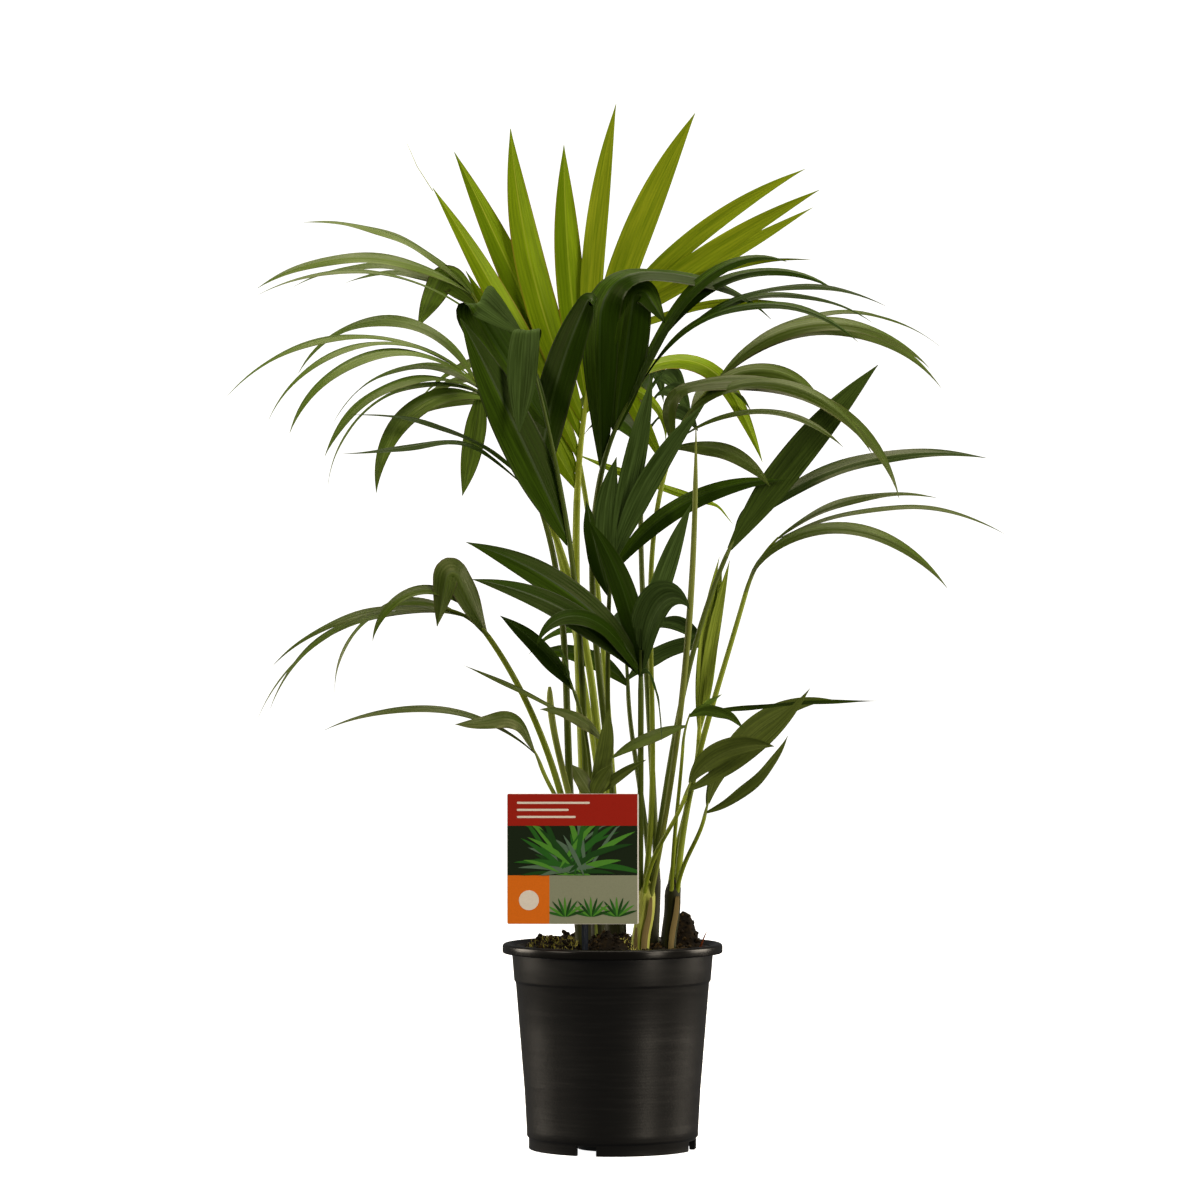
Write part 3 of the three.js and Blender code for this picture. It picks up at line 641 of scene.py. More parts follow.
def stalk_path(rod, arrival, steps):
    """The path of a stalk from its stem's head to its blade."""
    stem = STEMS[rod.stem]
    end = np.array(rod.throat)
    start = np.array(stem.head) + heading(rod.seat, 0) * stem.ring
    outward = (end - start) * (1, 1, 0)
    outward /= np.linalg.norm(outward)
    departure = UP + outward * rod.lean
    departure /= np.linalg.norm(departure)
    start = start + UP * (CLEARANCE + rod.radii[0] * rod.lean)
    span = np.linalg.norm(end - start)
    lower, upper = rod.handles
    return bezier(start, start + departure * span * lower, end - arrival * span * upper, end, steps)


def root_path(rod, soil_level, steps):
    """The path of a stalk's sheath down the side of its stem into the soil."""
    stem = STEMS[rod.stem]
    course = stem_path(stem, steps, soil_level)
    swing = heading(rod.seat, 0) * stem.ring
    narrowing = np.linspace(stem.foot_radius / stem.head_radius, 1, steps + 1)[:, None]
    return course + swing * narrowing


# ---- Leaflets ----

WIDEST_AT = 0.4
BASE_SHARE = 0.16
SHOULDER = 1.3
FOLD_SPREAD = (0.6, 1.4)  # how deep a leaflet folds along its midrib, to the common depth
WAVES = (1.2, 2.6)  # how often a leaflet's edges wander up and down along it
TWIST = 7
RIDGE_REACH = 0.1  # the half width of the midrib, to the leaflet's
EDGE_THINNING = 0.7
TIP_THICKNESS = 0.5
FOLD_STEPS = 13
FOLD_REACH = 0.6
RIB_ROOT = 0.002  # how far a rib reaches into its stalk
RIB_STEPS = 12
RIB_SIDES = 12
# A rib's radius inside the stalk, at the blade's foot and at its own end, to the stalk's tip.
RIB_RADII = (0.9, 0.95, 0.45)
RIB_LAST = 0.97  # the furthest that a leaflet is rooted

# Leaflets that hang with their pale under side out: a frond's name and its row. Their whole face takes the
# under tint, which stands for the under side's colour and is also painted light on these hanging faces.
PALE_LIT_LEAFLETS = {("upper_left", 5), ("mid_left", 8), ("front_left", 2)}

# Places across the upper face, from edge to edge of half widths: margins, pleats and midrib.
ACROSS = (-1, -0.93, -0.78, -0.6, -0.42, -0.24, -0.06, 0.06, 0.24, 0.42, 0.6, 0.78, 0.93, 1)
PLEAT_FIRST = 0.24
PLEAT_SPAN = 0.18
UPPER, UPPER_PAINTED_HALF, UNDER, MIDRIB, MARGIN, RIB = range(6)


def width_share(share, hair):
    if share < WIDEST_AT:
        return BASE_SHARE + (1 - BASE_SHARE) * math.sin(share / WIDEST_AT * math.pi / 2)
    fall = (share - WIDEST_AT) / (1 - WIDEST_AT)
    return max(hair, math.cos(fall**SHOULDER * math.pi / 2))


def add_leaflet(pile, root, row, leaf, dice, pale=False):
    """Adds one pleated leaflet, folded down on both sides of its midrib, with a hair tip."""
    azimuth, rise, droop, span, width, roll, late, *folds = row
    arch = Arch(root, azimuth, rise, droop, span, late, *folds)
    side = arch.sideways()
    across = np.array(ACROSS)
    pleats = np.cos(math.pi * (np.abs(across) - PLEAT_FIRST) / PLEAT_SPAN)
    ridge = np.where(np.abs(across) < RIDGE_REACH, leaf.midrib, 0.0)
    fold = leaf.fold * dice.uniform(*FOLD_SPREAD)
    phases = (dice.uniform(0, 1), dice.uniform(0, 1))
    waves = dice.uniform(*WAVES)
    twist = dice.uniform(-TWIST, TWIST)
    # One half of some leaflets, chosen at random, takes a second tint. This is partly tint variety and
    # partly painted light and shade on the fold's two faces.
    left_half = UPPER if dice.random() < 0.5 else UPPER_PAINTED_HALF
    right_half = UPPER
    # A listed leaflet takes the under tint on both halves, which also acts as painted light.
    if pale:
        left_half = right_half = UNDER
    shares = np.linspace(0, 1, leaf.steps + 1)
    if folds:
        reach = np.linspace(-FOLD_REACH, FOLD_REACH, FOLD_STEPS) * arch.fold.over
        shares = np.unique(np.clip(np.concatenate((shares, arch.fold.at + reach)), 0, 1).round(4))
    rings = []
    for share in shares:
        above = heading(azimuth, arch.rise_at(share) + 90)
        turn = math.radians(roll + twist * share + arch.fold.turn * arch.folded_at(share))
        broad = side * math.cos(turn) + above * math.sin(turn)
        thin = above * math.cos(turn) - side * math.sin(turn)
        fullness = width_share(share, leaf.hair)
        half = width * fullness / 2
        swell = half * (leaf.pleat * pleats - fold * np.abs(across)) + ridge * min(1, fullness * 2)
        ripple = [leaf.wave * math.sin(math.tau * (waves * share + phase)) for phase in phases]
        swell = swell + np.where(across < 0, ripple[0], ripple[1]) * np.abs(across) ** 3 * fullness
        sheet = leaf.thickness * (1 - EDGE_THINNING * np.abs(across)) * blend(TIP_THICKNESS, 1, fullness)
        top = arch.point(share) + np.outer(across * half, broad) + np.outer(swell, thin)
        below = (top - np.outer(sheet, thin))[1:-1][::-1]
        rings.append(np.vstack((top, below)))
    rings = np.array(rings)
    strips = [MARGIN] + [left_half] * 5 + [MIDRIB] + [right_half] * 5 + [MARGIN]
    strips += [UNDER] * len(strips)
    corners = np.concatenate((across, across[1:-1][::-1], across[:1]))
    pile.loft(rings, (corners + 1) * width / 2, shares * span, strips)


def add_blade(pile, frond, leaf, dice):
    """Adds the rib and the leaflets of one frond."""
    azimuth, rise, droop, span = frond.rib
    start = np.array(frond.throat) + heading(azimuth, rise) * CLEARANCE
    rib = Arch(start, azimuth, rise, droop, span)
    radius = frond.radii[1]
    shares = np.linspace(0, 1, RIB_STEPS + 1)
    inside = start - heading(azimuth, rise) * RIB_ROOT
    path = [inside, *(rib.point(share) for share in shares)]
    root, first, last = RIB_RADII
    radii = np.concatenate(([root], blend(first, last, shares))) * radius
    add_rod(pile, path, radii, RIB_SIDES, RIB)
    for number, (share, *row) in enumerate(frond.leaflets):
        sunk = min(max(share, radius / span), RIB_LAST)
        pale = (frond.name, number) in PALE_LIT_LEAFLETS
        add_leaflet(pile, rib.point(sunk), row, leaf, dice, pale)


# ---- Materials ----

COLOUR_A, COLOUR_B, COLOUR_OUT = 6, 7, 2  # a colour Mix node's sockets
LOW, HIGH, TO_LOW, TO_HIGH = 1, 2, 3, 4  # a Map Range node's sockets, after the one of its value
BAND = 0.31416  # a Wave node's scale times the distance between its bands


def add_node(tree, kind, settings=None, values=None, links=None):
    """Adds a node, sets it and its sockets, and links other nodes' sockets into it."""
    node = tree.nodes.new(kind)
    for name, value in (settings or {}).items():
        setattr(node, name, value)
    for socket, value in (values or {}).items():
        node.inputs[socket].default_value = value
    for socket, source in (links or {}).items():
        tree.links.new(source, node.inputs[socket])
    return node


def new_tree(name):
    material = bpy.data.materials.new(name)
    material.use_nodes = True
    material.node_tree.nodes.clear()
    return material, material.node_tree


def made_once(make, name, *values):
    """The material of that name, which is made the first time that it is asked for."""
    return bpy.data.materials.get(name) or make(name, *values)


def moulded_polypropylene(name, tint, roughness, specular, scuffed):
    """Black polypropylene out of a turned mould: a soft sheen, fine rings round it and dull scuffs."""
    material, tree = new_tree(name)
    place = add_node(tree, "ShaderNodeTexCoord").outputs["Object"]
    # The mould's turning rings are 0.9 mm apart, too fine to show, and are drawn 2.6 mm apart.
    rings = add_node(
        tree, "ShaderNodeTexWave", {"bands_direction": "Z"},
        {"Scale": BAND / 0.0026, "Distortion": 0.3, "Detail": 2, "Detail Scale": 0.4}, {"Vector": place},
    )
    # A scuff runs round the wall. It is about 70 mm long and 4 mm high, and breaks into finer ones.
    stretched = add_node(tree, "ShaderNodeMapping", values={"Scale": (14, 14, 260)}, links={"Vector": place})
    scuffs = add_node(
        tree, "ShaderNodeTexNoise", values={"Scale": 1, "Detail": 5, "Roughness": 0.7},
        links={"Vector": stretched.outputs["Vector"]},
    )
    # The mould's grain is about 1 mm across.
    grain = add_node(tree, "ShaderNodeTexNoise", values={"Scale": 900, "Detail": 2}, links={"Vector": place})
    worn = add_node(
        tree, "ShaderNodeMapRange", values={LOW: 0.52, HIGH: 0.8, TO_LOW: 0, TO_HIGH: scuffed},
        links={0: scuffs.outputs["Fac"]},
    )
    paler = tuple(min(1, c * 3.2 + 0.012) for c in tint[:3]) + (1,)
    body = add_node(
        tree, "ShaderNodeMix", {"data_type": "RGBA"}, {COLOUR_A: tint, COLOUR_B: paler},
        {0: worn.outputs[0]},
    )
    gloss = add_node(
        tree, "ShaderNodeMapRange",
        values={LOW: 0.3, HIGH: 0.8, TO_LOW: roughness - 0.04, TO_HIGH: roughness + 0.05},
        links={0: scuffs.outputs["Fac"]},
    )
    relief = add_node(
        tree, "ShaderNodeBump", values={"Strength": 0.03, "Distance": 0.0003},
        links={"Height": rings.outputs["Fac"]},
    )
    grained = add_node(
        tree, "ShaderNodeBump", values={"Strength": 0.12, "Distance": 0.0002},
        links={"Height": grain.outputs["Fac"], "Normal": relief.outputs["Normal"]},
    )
    shader = add_node(
        tree, "ShaderNodeBsdfPrincipled", values={"IOR": 1.49, "Specular IOR Level": specular},
        links={
            "Base Color": body.outputs[COLOUR_OUT],
            "Roughness": gloss.outputs[0],
            "Normal": grained.outputs["Normal"],
        },
    )
    add_node(tree, "ShaderNodeOutputMaterial", links={"Surface": shader.outputs["BSDF"]})
    return material


def peat(name, dark, light, fleck):
    """Damp milled peat: nearly black crumbs with paler fibres, quite dull, and rough to a millimetre."""
    material, tree = new_tree(name)
    place = add_node(tree, "ShaderNodeTexCoord").outputs["Object"]
    # A clod is about 5.5 mm across, and breaks into finer ones.
    clods = add_node(
        tree, "ShaderNodeTexNoise", values={"Scale": 180, "Detail": 6, "Roughness": 0.7},
        links={"Vector": place},
    )
    share = add_node(
        tree, "ShaderNodeMapRange", values={LOW: 0.48, HIGH: 0.78, TO_LOW: 0, TO_HIGH: fleck},
        links={0: clods.outputs["Fac"]},
    )
    body = add_node(
        tree, "ShaderNodeMix", {"data_type": "RGBA"}, {COLOUR_A: dark, COLOUR_B: light},
        {0: share.outputs[0]},
    )
    relief = add_node(
        tree, "ShaderNodeBump", values={"Strength": 0.9, "Distance": 0.0012},
        links={"Height": clods.outputs["Fac"]},
    )
    shader = add_node(
        tree, "ShaderNodeBsdfPrincipled", values={"Roughness": 0.93, "Specular IOR Level": 0.15},
        links={"Base Color": body.outputs[COLOUR_OUT], "Normal": relief.outputs["Normal"]},
    )
    add_node(tree, "ShaderNodeOutputMaterial", links={"Surface": shader.outputs["BSDF"]})
    return material


def coated_card(name, tint):
    """Offset ink on coated card: an even tint with a faint cloud of paper fibre under a satin coat."""
    material, tree = new_tree(name)
    place = add_node(tree, "ShaderNodeTexCoord").outputs["Object"]
    # The cloud of the paper's fibres is about 1.4 mm across.
    cloud = add_node(tree, "ShaderNodeTexNoise", values={"Scale": 700, "Detail": 3}, links={"Vector": place})
    share = add_node(
        tree, "ShaderNodeMapRange", values={LOW: 0.35, HIGH: 0.7, TO_LOW: 0, TO_HIGH: 0.25},
        links={0: cloud.outputs["Fac"]},
    )
    darker = tuple(c * 0.75 for c in tint[:3]) + (1,)
    body = add_node(
        tree, "ShaderNodeMix", {"data_type": "RGBA"}, {COLOUR_A: tint, COLOUR_B: darker},
        {0: share.outputs[0]},
    )
    shader = add_node(
        tree, "ShaderNodeBsdfPrincipled", values={"Roughness": 0.42, "Specular IOR Level": 0.3},
        links={"Base Color": body.outputs[COLOUR_OUT]},
    )
    add_node(tree, "ShaderNodeOutputMaterial", links={"Surface": shader.outputs["BSDF"]})
    return material


WAX_GLOSS = "#f0f2b4"


def waxy_leaf(name, tint, shade, vein, roughness, specular):
    """A leaf's waxy skin: fine veins and soft streaks run its length, and their ridges break the gloss."""
    material, tree = new_tree(name)
    coords = add_node(tree, "ShaderNodeTexCoord")
    along = coords.outputs["UV"]
    # The veins are 0.5 mm apart, too fine to show, and every sixth is drawn, 3 mm apart.
    veins = add_node(
        tree, "ShaderNodeTexWave", {"bands_direction": "X"},
        {"Scale": BAND / 0.003, "Distortion": 0.5, "Detail": 1, "Detail Scale": 0.2}, {"Vector": along},
    )
    # A streak is about 1.6 mm wide and 60 mm long.
    stretched = add_node(
        tree, "ShaderNodeMapping", values={"Scale": (1 / 0.0016, 1 / 0.06, 1)}, links={"Vector": along}
    )
    streaks = add_node(
        tree, "ShaderNodeTexNoise", values={"Scale": 1, "Detail": 3, "Roughness": 0.6},
        links={"Vector": stretched.outputs["Vector"]},
    )
    # The wax is thicker in clouds about 40 mm across.
    clouds = add_node(
        tree, "ShaderNodeTexNoise", values={"Scale": 26, "Detail": 2},
        links={"Vector": coords.outputs["Object"]},
    )
    streaked = add_node(
        tree, "ShaderNodeMapRange", values={LOW: 0.3, HIGH: 0.75, TO_LOW: 0, TO_HIGH: 1},
        links={0: streaks.outputs["Fac"]},
    )
    body = add_node(
        tree, "ShaderNodeMix", {"data_type": "RGBA"}, {COLOUR_A: tint, COLOUR_B: shade},
        {0: streaked.outputs[0]},
    )
    veined = add_node(tree, "ShaderNodeMath", {"operation": "MULTIPLY"}, {1: 0.1}, {0: veins.outputs["Fac"]})
    lined = add_node(
        tree, "ShaderNodeMix", {"data_type": "RGBA"}, {COLOUR_B: vein},
        {0: veined.outputs[0], COLOUR_A: body.outputs[COLOUR_OUT]},
    )
    gloss = add_node(
        tree, "ShaderNodeMapRange",
        values={LOW: 0.3, HIGH: 0.7, TO_LOW: roughness - 0.05, TO_HIGH: roughness + 0.1},
        links={0: clouds.outputs["Fac"]},
    )
    relief = add_node(
        tree, "ShaderNodeBump", values={"Strength": 0.2, "Distance": 0.0003},
        links={"Height": veins.outputs["Fac"]},
    )
    shader = add_node(
        tree, "ShaderNodeBsdfPrincipled",
        values={"IOR": 1.45, "Specular IOR Level": specular, "Specular Tint": linear(WAX_GLOSS)},
        links={
            "Base Color": lined.outputs[COLOUR_OUT],
            "Roughness": gloss.outputs[0],
            "Normal": relief.outputs["Normal"],
        },
    )
    add_node(tree, "ShaderNodeOutputMaterial", links={"Surface": shader.outputs["BSDF"]})
    return material


def stalk_skin(name, tint, streak, roughness):
    """A stalk's smooth skin: green, with paler fibres along it that catch the light."""
    material, tree = new_tree(name)
    along = add_node(tree, "ShaderNodeTexCoord").outputs["UV"]
    # A fibre is about 1.2 mm wide and 90 mm long.
    stretched = add_node(
        tree, "ShaderNodeMapping", values={"Scale": (1 / 0.0012, 1 / 0.09, 1)}, links={"Vector": along}
    )
    fibres = add_node(
        tree, "ShaderNodeTexNoise", values={"Scale": 1, "Detail": 4, "Roughness": 0.65},
        links={"Vector": stretched.outputs["Vector"]},
    )
    share = add_node(
        tree, "ShaderNodeMapRange", values={LOW: 0.35, HIGH: 0.68, TO_LOW: 0, TO_HIGH: 1},
        links={0: fibres.outputs["Fac"]},
    )
    body = add_node(
        tree, "ShaderNodeMix", {"data_type": "RGBA"}, {COLOUR_A: tint, COLOUR_B: streak},
        {0: share.outputs[0]},
    )
    relief = add_node(
        tree, "ShaderNodeBump", values={"Strength": 0.3, "Distance": 0.0004},
        links={"Height": fibres.outputs["Fac"]},
    )
    shader = add_node(
        tree, "ShaderNodeBsdfPrincipled",
        values={"Roughness": roughness, "IOR": 1.45, "Specular IOR Level": 0.2},
        links={"Base Color": body.outputs[COLOUR_OUT], "Normal": relief.outputs["Normal"]},
    )
    add_node(tree, "ShaderNodeOutputMaterial", links={"Surface": shader.outputs["BSDF"]})
    return material


def studio_paper(name, tint):
    """Seamless matt paper, lit from behind a little so that it stays white to its far edge."""
    material, tree = new_tree(name)
    shader = add_node(
        tree, "ShaderNodeBsdfPrincipled",
        values={
            "Base Color": tint,
            "Roughness": 0.9,
            "Specular IOR Level": 0.1,
            "Emission Color": (1, 1, 1, 1),
            "Emission Strength": 1.0,
        },
    )
    add_node(tree, "ShaderNodeOutputMaterial", links={"Surface": shader.outputs["BSDF"]})
    return material


class LeafTints(NamedTuple):
    upper: str
    # The second tint for one half of a leaflet: partly tint variety, partly painted light and shade on the
    # fold's two faces.
    upper_painted_half: str
    shade: str
    under: str
    midrib: str
    margin: str
    rib: str
    roughness: float
    gloss: float


# The tints of each kind of leaf, its roughness and its gloss, in the order above.
LEAF_TINTS = {
    "fresh": ("#839f12", "#6a8808", "#587206", "#8c9a1c", "#96a42c", "#7c4c16", "#93a02a", 0.42, 0.12),
    "leaf": ("#3a4c0c", "#485e14", "#2a3908", "#64822a", "#4a5a1c", "#4a401e", "#74822a", 0.42, 0.36),
    "furled": ("#98ac2a", "#6f8812", "#536810", "#9bac42", "#a8b44c", "#6a7a1c", "#98a43a", 0.42, 0.3),
    # A lighter copy of the leaf tints: painted light for the fronds at the left.
    "painted_lit": ("#465c18", "#566e1c", "#344a0c", "#728e30", "#586a28", "#4a401e", "#808c30", 0.44, 0.38),
    "dark": ("#243a06", "#3c5610", "#182803", "#4b6130", "#2c4008", "#2c340c", "#4d5c1c", 0.38, 0.08),
    # A dark glossy leaf. Its pale olive midrib tint is a painted highlight along each leaflet's midrib, and
    # it also tints the faint vein lines.
    "glossy_painted_sheen": ("#22380a", "#2e4610", "#1a2b05", "#485e20", "#606b42", "#2f360c", "#5d6c22", 0.28, 0.3),
    "grey": ("#3c4c14", "#48581e", "#2f3d0e", "#5c6a2a", "#5c6834", "#5a5028", "#7c8938", 0.4, 0.4),
}
LEAF_SLOTS = {"fresh": "leaf_fresh", "leaf": "leaf_green", "dark": "leaf_dark", "grey": "leaf_pale"}
FROND_LOOKS = {
    # broad_right's leaflets carry a painted highlight streak along their midribs.
    "broad_right": "glossy_painted_sheen",
    # upper_left and mid_left take the lighter copy of the leaf tints, with painted light on the left fronds.
    "upper_left": "painted_lit",
    "mid_left": "painted_lit",
    "furled_right": "furled",
    "lower_right_front": "grey",
    "lower_right_back": "grey",
}


def leaf_materials(kind):
    """The finishes of one kind of leaf, in the order of the leaflet's finishes."""
    name = f"waxy leaf, {kind}"
    tints = LeafTints(*LEAF_TINTS[kind])
    upper, shade, vein = linear(tints.upper), linear(tints.shade), linear(tints.midrib)
    other, under = linear(tints.upper_painted_half), linear(tints.under)
    rough, gloss = tints.roughness, tints.gloss
    return [
        made_once(waxy_leaf, name, upper, shade, vein, rough, gloss),
        made_once(waxy_leaf, f"{name}, other half", other, shade, vein, rough, gloss),
        made_once(waxy_leaf, f"{name}, under", under, shade, vein, rough + 0.15, gloss / 2),
        made_once(stalk_skin, f"{name}, midrib", vein, upper, rough + 0.05),
        made_once(stalk_skin, f"{name}, margin", linear(tints.margin), upper, rough + 0.1),
        made_once(stalk_skin, f"{name}, rib", linear(tints.rib), vein, rough + 0.05),
    ]


STALK_TINTS = {
    "fresh": ("#6e8010", "#8a9428"),
    "leaf": ("#697a16", "#8f9c34"),
    "dark": ("#37440e", "#58661c"),
    "grey": ("#677a18", "#8a9638"),
    # Near-black: the dark colour of the stems' sheaths, deepened by painted shade at the plant's foot.
    "old": ("#1c1e09", "#303414"),
    "young": ("#8f9c34", "#b4ba5c"),
}
STALK_ROUGHNESS = 0.42
# The tint of the sheaths on a stem, where it differs. Elsewhere they take the near-black tint, which is the
# stems' dark colour deepened by painted shade at the plant's foot.
SHEATH_LOOKS = {"middle": "young", "far": "dark"}


def stalk_material(kind):
    tint, streak = STALK_TINTS[kind]
    return made_once(stalk_skin, f"stalk skin, {kind}", linear(tint), linear(streak), STALK_ROUGHNESS)


# ---- The pot, its soil and its label ----

RIM_DEPTH = 0.008
RIM_ROUNDING = 0.0026
RIM_LIP = 0.0056
RIM_SKIN_FROM = 0.0865  # the radius from which the rim has its own smoother skin
# The plastic's roughness, gloss and scuffs, on the wall and on the rim.
WALL_FINISH = (0.34, 0.5, 0.3)
RIM_FINISH = (0.24, 0.22, 0.2)
COLLAR_DEPTH = 0.033
COLLAR_STEP = 0.0012
FOOT_STEP = 0.0017
FOOT_HEIGHT = 0.011
FOOT_WIDTH = 0.005
CHANNEL_HEIGHT = 0.009
DISC_RADIUS = 0.03
DISC_SLOPE = 0.003
EDGE = 0.0009
NOTCHES = 4
NOTCH_TURN = -108.5
POT_SIDES = 192


def arc(centre, radius, first, last, count):
    """Points of an arc in a lathe's profile, from one angle to another."""
    angles = [math.radians(blend(first, last, i / (count - 1))) for i in range(count)]
    return [(centre[0] + radius * math.cos(a), centre[1] + radius * math.sin(a)) for a in angles]


def wall_inside(pot, z):
    share = (z - FOOT_HEIGHT) / (pot.height - FOOT_HEIGHT)
    return blend(pot.foot_radius, pot.collar_radius, share) - pot.wall


def pot_profile(pot):
    """The half section of the pot, round from the middle of its underside to the middle of its floor."""
    collar_foot = pot.height - COLLAR_DEPTH
    rim_foot = pot.height - RIM_DEPTH
    ring_outer = pot.foot_radius - FOOT_STEP
    ring_inner = ring_outer - FOOT_WIDTH
    floor = CHANNEL_HEIGHT + pot.wall

    def outside(z):
        return wall_inside(pot, z) + pot.wall

    bead = pot.rim_radius - RIM_ROUNDING
    lip = pot.rim_radius - RIM_LIP
    profile = [(0, 0), (DISC_RADIUS, 0), (DISC_RADIUS + DISC_SLOPE, CHANNEL_HEIGHT)]
    profile += [(ring_inner - EDGE, CHANNEL_HEIGHT), (ring_inner, CHANNEL_HEIGHT - EDGE)]
    profile += arc((ring_inner + EDGE, EDGE), EDGE, 180, 270, 4)
    profile += arc((ring_outer - EDGE, EDGE), EDGE, 270, 360, 5)
    profile += [(ring_outer, FOOT_HEIGHT - 2 * EDGE)]
    profile += [(ring_outer + EDGE / 2, FOOT_HEIGHT - EDGE)]
    profile += [(pot.foot_radius - EDGE / 2, FOOT_HEIGHT - EDGE / 2)]
    profile += [(pot.foot_radius, FOOT_HEIGHT + EDGE / 2)]
    profile += [(outside(z) - COLLAR_STEP * share, z) for z, share in (
        (FOOT_HEIGHT + 0.006, 0.3), (0.05, 1), (0.1, 1), (collar_foot - EDGE, 1), (collar_foot, 0.8),
        (collar_foot + EDGE, 0.1), (collar_foot + 2 * EDGE, 0), (rim_foot - EDGE, 0),
    )]
    profile += [(outside(rim_foot) + EDGE, rim_foot)]
    profile += arc((pot.rim_radius - EDGE, rim_foot + EDGE), EDGE, 270, 360, 5)
    profile += arc((bead, pot.height - RIM_ROUNDING), RIM_ROUNDING, 0, 90, 9)
    profile += arc((lip, pot.height - EDGE), EDGE, 90, 150, 4)
    profile += [(wall_inside(pot, pot.height), pot.height - RIM_ROUNDING)]
    profile += [(wall_inside(pot, floor), floor), (DISC_RADIUS + DISC_SLOPE - pot.wall, floor)]
    profile += [(DISC_RADIUS - pot.wall, pot.wall), (0, pot.wall)]
    return profile


def lathed(name, profile, sides, merge=1e-6, inward=False):
    """Turns a half section round the Z axis into one closed mesh, with its faces out or in."""
    form = bmesh.new()
    columns = []
    for i in range(sides):
        turn = math.tau * i / sides
        columns.append([form.verts.new((r * math.cos(turn), r * math.sin(turn), z)) for r, z in profile])
    for i in range(sides):
        here, there = columns[i], columns[(i + 1) % sides]
        for k in range(len(profile) - 1):
            form.faces.new((here[k], there[k], there[k + 1], here[k + 1]))
    bmesh.ops.remove_doubles(form, verts=form.verts, dist=merge)
    bmesh.ops.recalc_face_normals(form, faces=form.faces)
    if inward:
        bmesh.ops.reverse_faces(form, faces=form.faces)
    mesh = bpy.data.meshes.new(name)
    form.to_mesh(mesh)
    form.free()
    return mesh


def cut_notches(piece, pot):
    """Cuts the drain notches through the foot ring."""
    form = bmesh.new()
    for i in range(NOTCHES):
        angle = math.radians(NOTCH_TURN + 360 / NOTCHES * i)
        ring = pot.foot_radius - FOOT_STEP
        place = Matrix.Translation((ring * math.cos(angle), ring * math.sin(angle), 0))
        size = Matrix.Diagonal((4 * FOOT_WIDTH, pot.notch_width, 2 * CHANNEL_HEIGHT, 1))
        box = bmesh.ops.create_cube(form, size=1, matrix=place @ Matrix.Rotation(angle, 4, "Z") @ size)
        for corner in box["verts"]:
            if corner.co.z > 0:
                corner.co.z -= CLEARANCE
    mesh = bpy.data.meshes.new("notches")
    form.to_mesh(mesh)
    form.free()
    cutter = bpy.data.objects.new("notches", mesh)
    bpy.context.scene.collection.objects.link(cutter)
    cut = piece.modifiers.new("notches", "BOOLEAN")
    cut.object = cutter
    cut.operation = "DIFFERENCE"
    cut.solver = "EXACT"
    graph = bpy.context.evaluated_depsgraph_get()
    done = bpy.data.meshes.new_from_object(piece.evaluated_get(graph), depsgraph=graph)
    piece.modifiers.clear()
    bpy.data.objects.remove(cutter)
    piece.data = done


class PALM_OT_pot(bpy.types.Operator):
    """Makes the moulded pot with its rolled rim, collar, foot ring and drain notches"""

    bl_idname = "palm.pot"
    bl_label = "Nursery pot"

    def execute(self, context):
        pot = context.scene.palm_pot
        piece = finished_object("nursery_pot", lathed("nursery_pot", pot_profile(pot), POT_SIDES))
        cut_notches(piece, pot)
        mesh = piece.data
        plastic = tuple(pot.plastic)
        mesh.materials.clear()
        mesh.materials.append(moulded_polypropylene("moulded polypropylene, wall", plastic, *WALL_FINISH))
        mesh.materials.append(moulded_polypropylene("moulded polypropylene, rim", plastic, *RIM_FINISH))
        rim_foot = pot.height - RIM_DEPTH - EDGE / 2
        for face in mesh.polygons:
            on_rim = face.center.z > rim_foot and face.center.xy.length > RIM_SKIN_FROM
            face.material_index = int(on_rim)
        mesh.shade_smooth()
        mesh.set_sharp_from_angle(angle=math.radians(40))
        place_on_plant(piece, "pot_plastic", "pot")
        return {"FINISHED"}


# Heaps of soil: x, y, radius and height over the level.
MOUNDS = (
    (0.0655, 0.026, 0.0135, 0.022),
    (0.058, 0.034, 0.018, 0.016),
    (-0.038, 0.056, 0.018, 0.010),
    (-0.012, -0.05, 0.014, 0.014),
    (0.004, -0.052, 0.016, 0.012),
    (-0.056, -0.02, 0.02, 0.012),
    (-0.038, -0.04, 0.014, 0.011),
    (-0.012, 0.02, 0.02, 0.009),
    (0.012, 0.012, 0.014, 0.012),
    (-0.064, 0.02, 0.014, 0.009),
)
# Spots of moss: x, y and radius.
MOSS_SPOTS = (
    (-0.066, 0.01, 0.012),
    (-0.05, 0.02, 0.014),
    (-0.074, -0.01, 0.01),
    (-0.058, -0.026, 0.014),
    (-0.04, -0.042, 0.01),
    (0.018, -0.05, 0.012),
)
SOIL_RINGS = 46
SOIL_SIDES = 150
SOIL_WALL = 0.166  # the height at which the soil's own radius is that of the wall
SOIL_FOOT = 0.12
SOIL_TAPER = 0.93
SOIL_EDGE = 0.066  # from this radius on the soil sinks to the wall
SOIL_SAG = 0.006
SOIL_SMOOTHING = 0.006  # the surface is smooth at the wall and rough from this far in
SOIL_CLODS = 90  # clods to a metre
SOIL_ROUGHNESS = 0.0028
SOIL_DROP = 0.001
CRUMB_SIZES = (0.0007, 0.0026)
CRUMB_TOP = 0.2
BIG_CRUMBS = 0.06  # the share of the crumbs that are half as big again
FIBRE_CRUMBS = 0.22  # the share of the crumbs that are dry fibre
MOSS_STRANDS = 170  # on each spot
MOSS_LENGTHS = (0.002, 0.0055)
MOSS_RADII = (0.0003, 0.0007)
ROOTS = 26
ROOT_POINTS = 7
ROOT_LENGTHS = (0.008, 0.02)
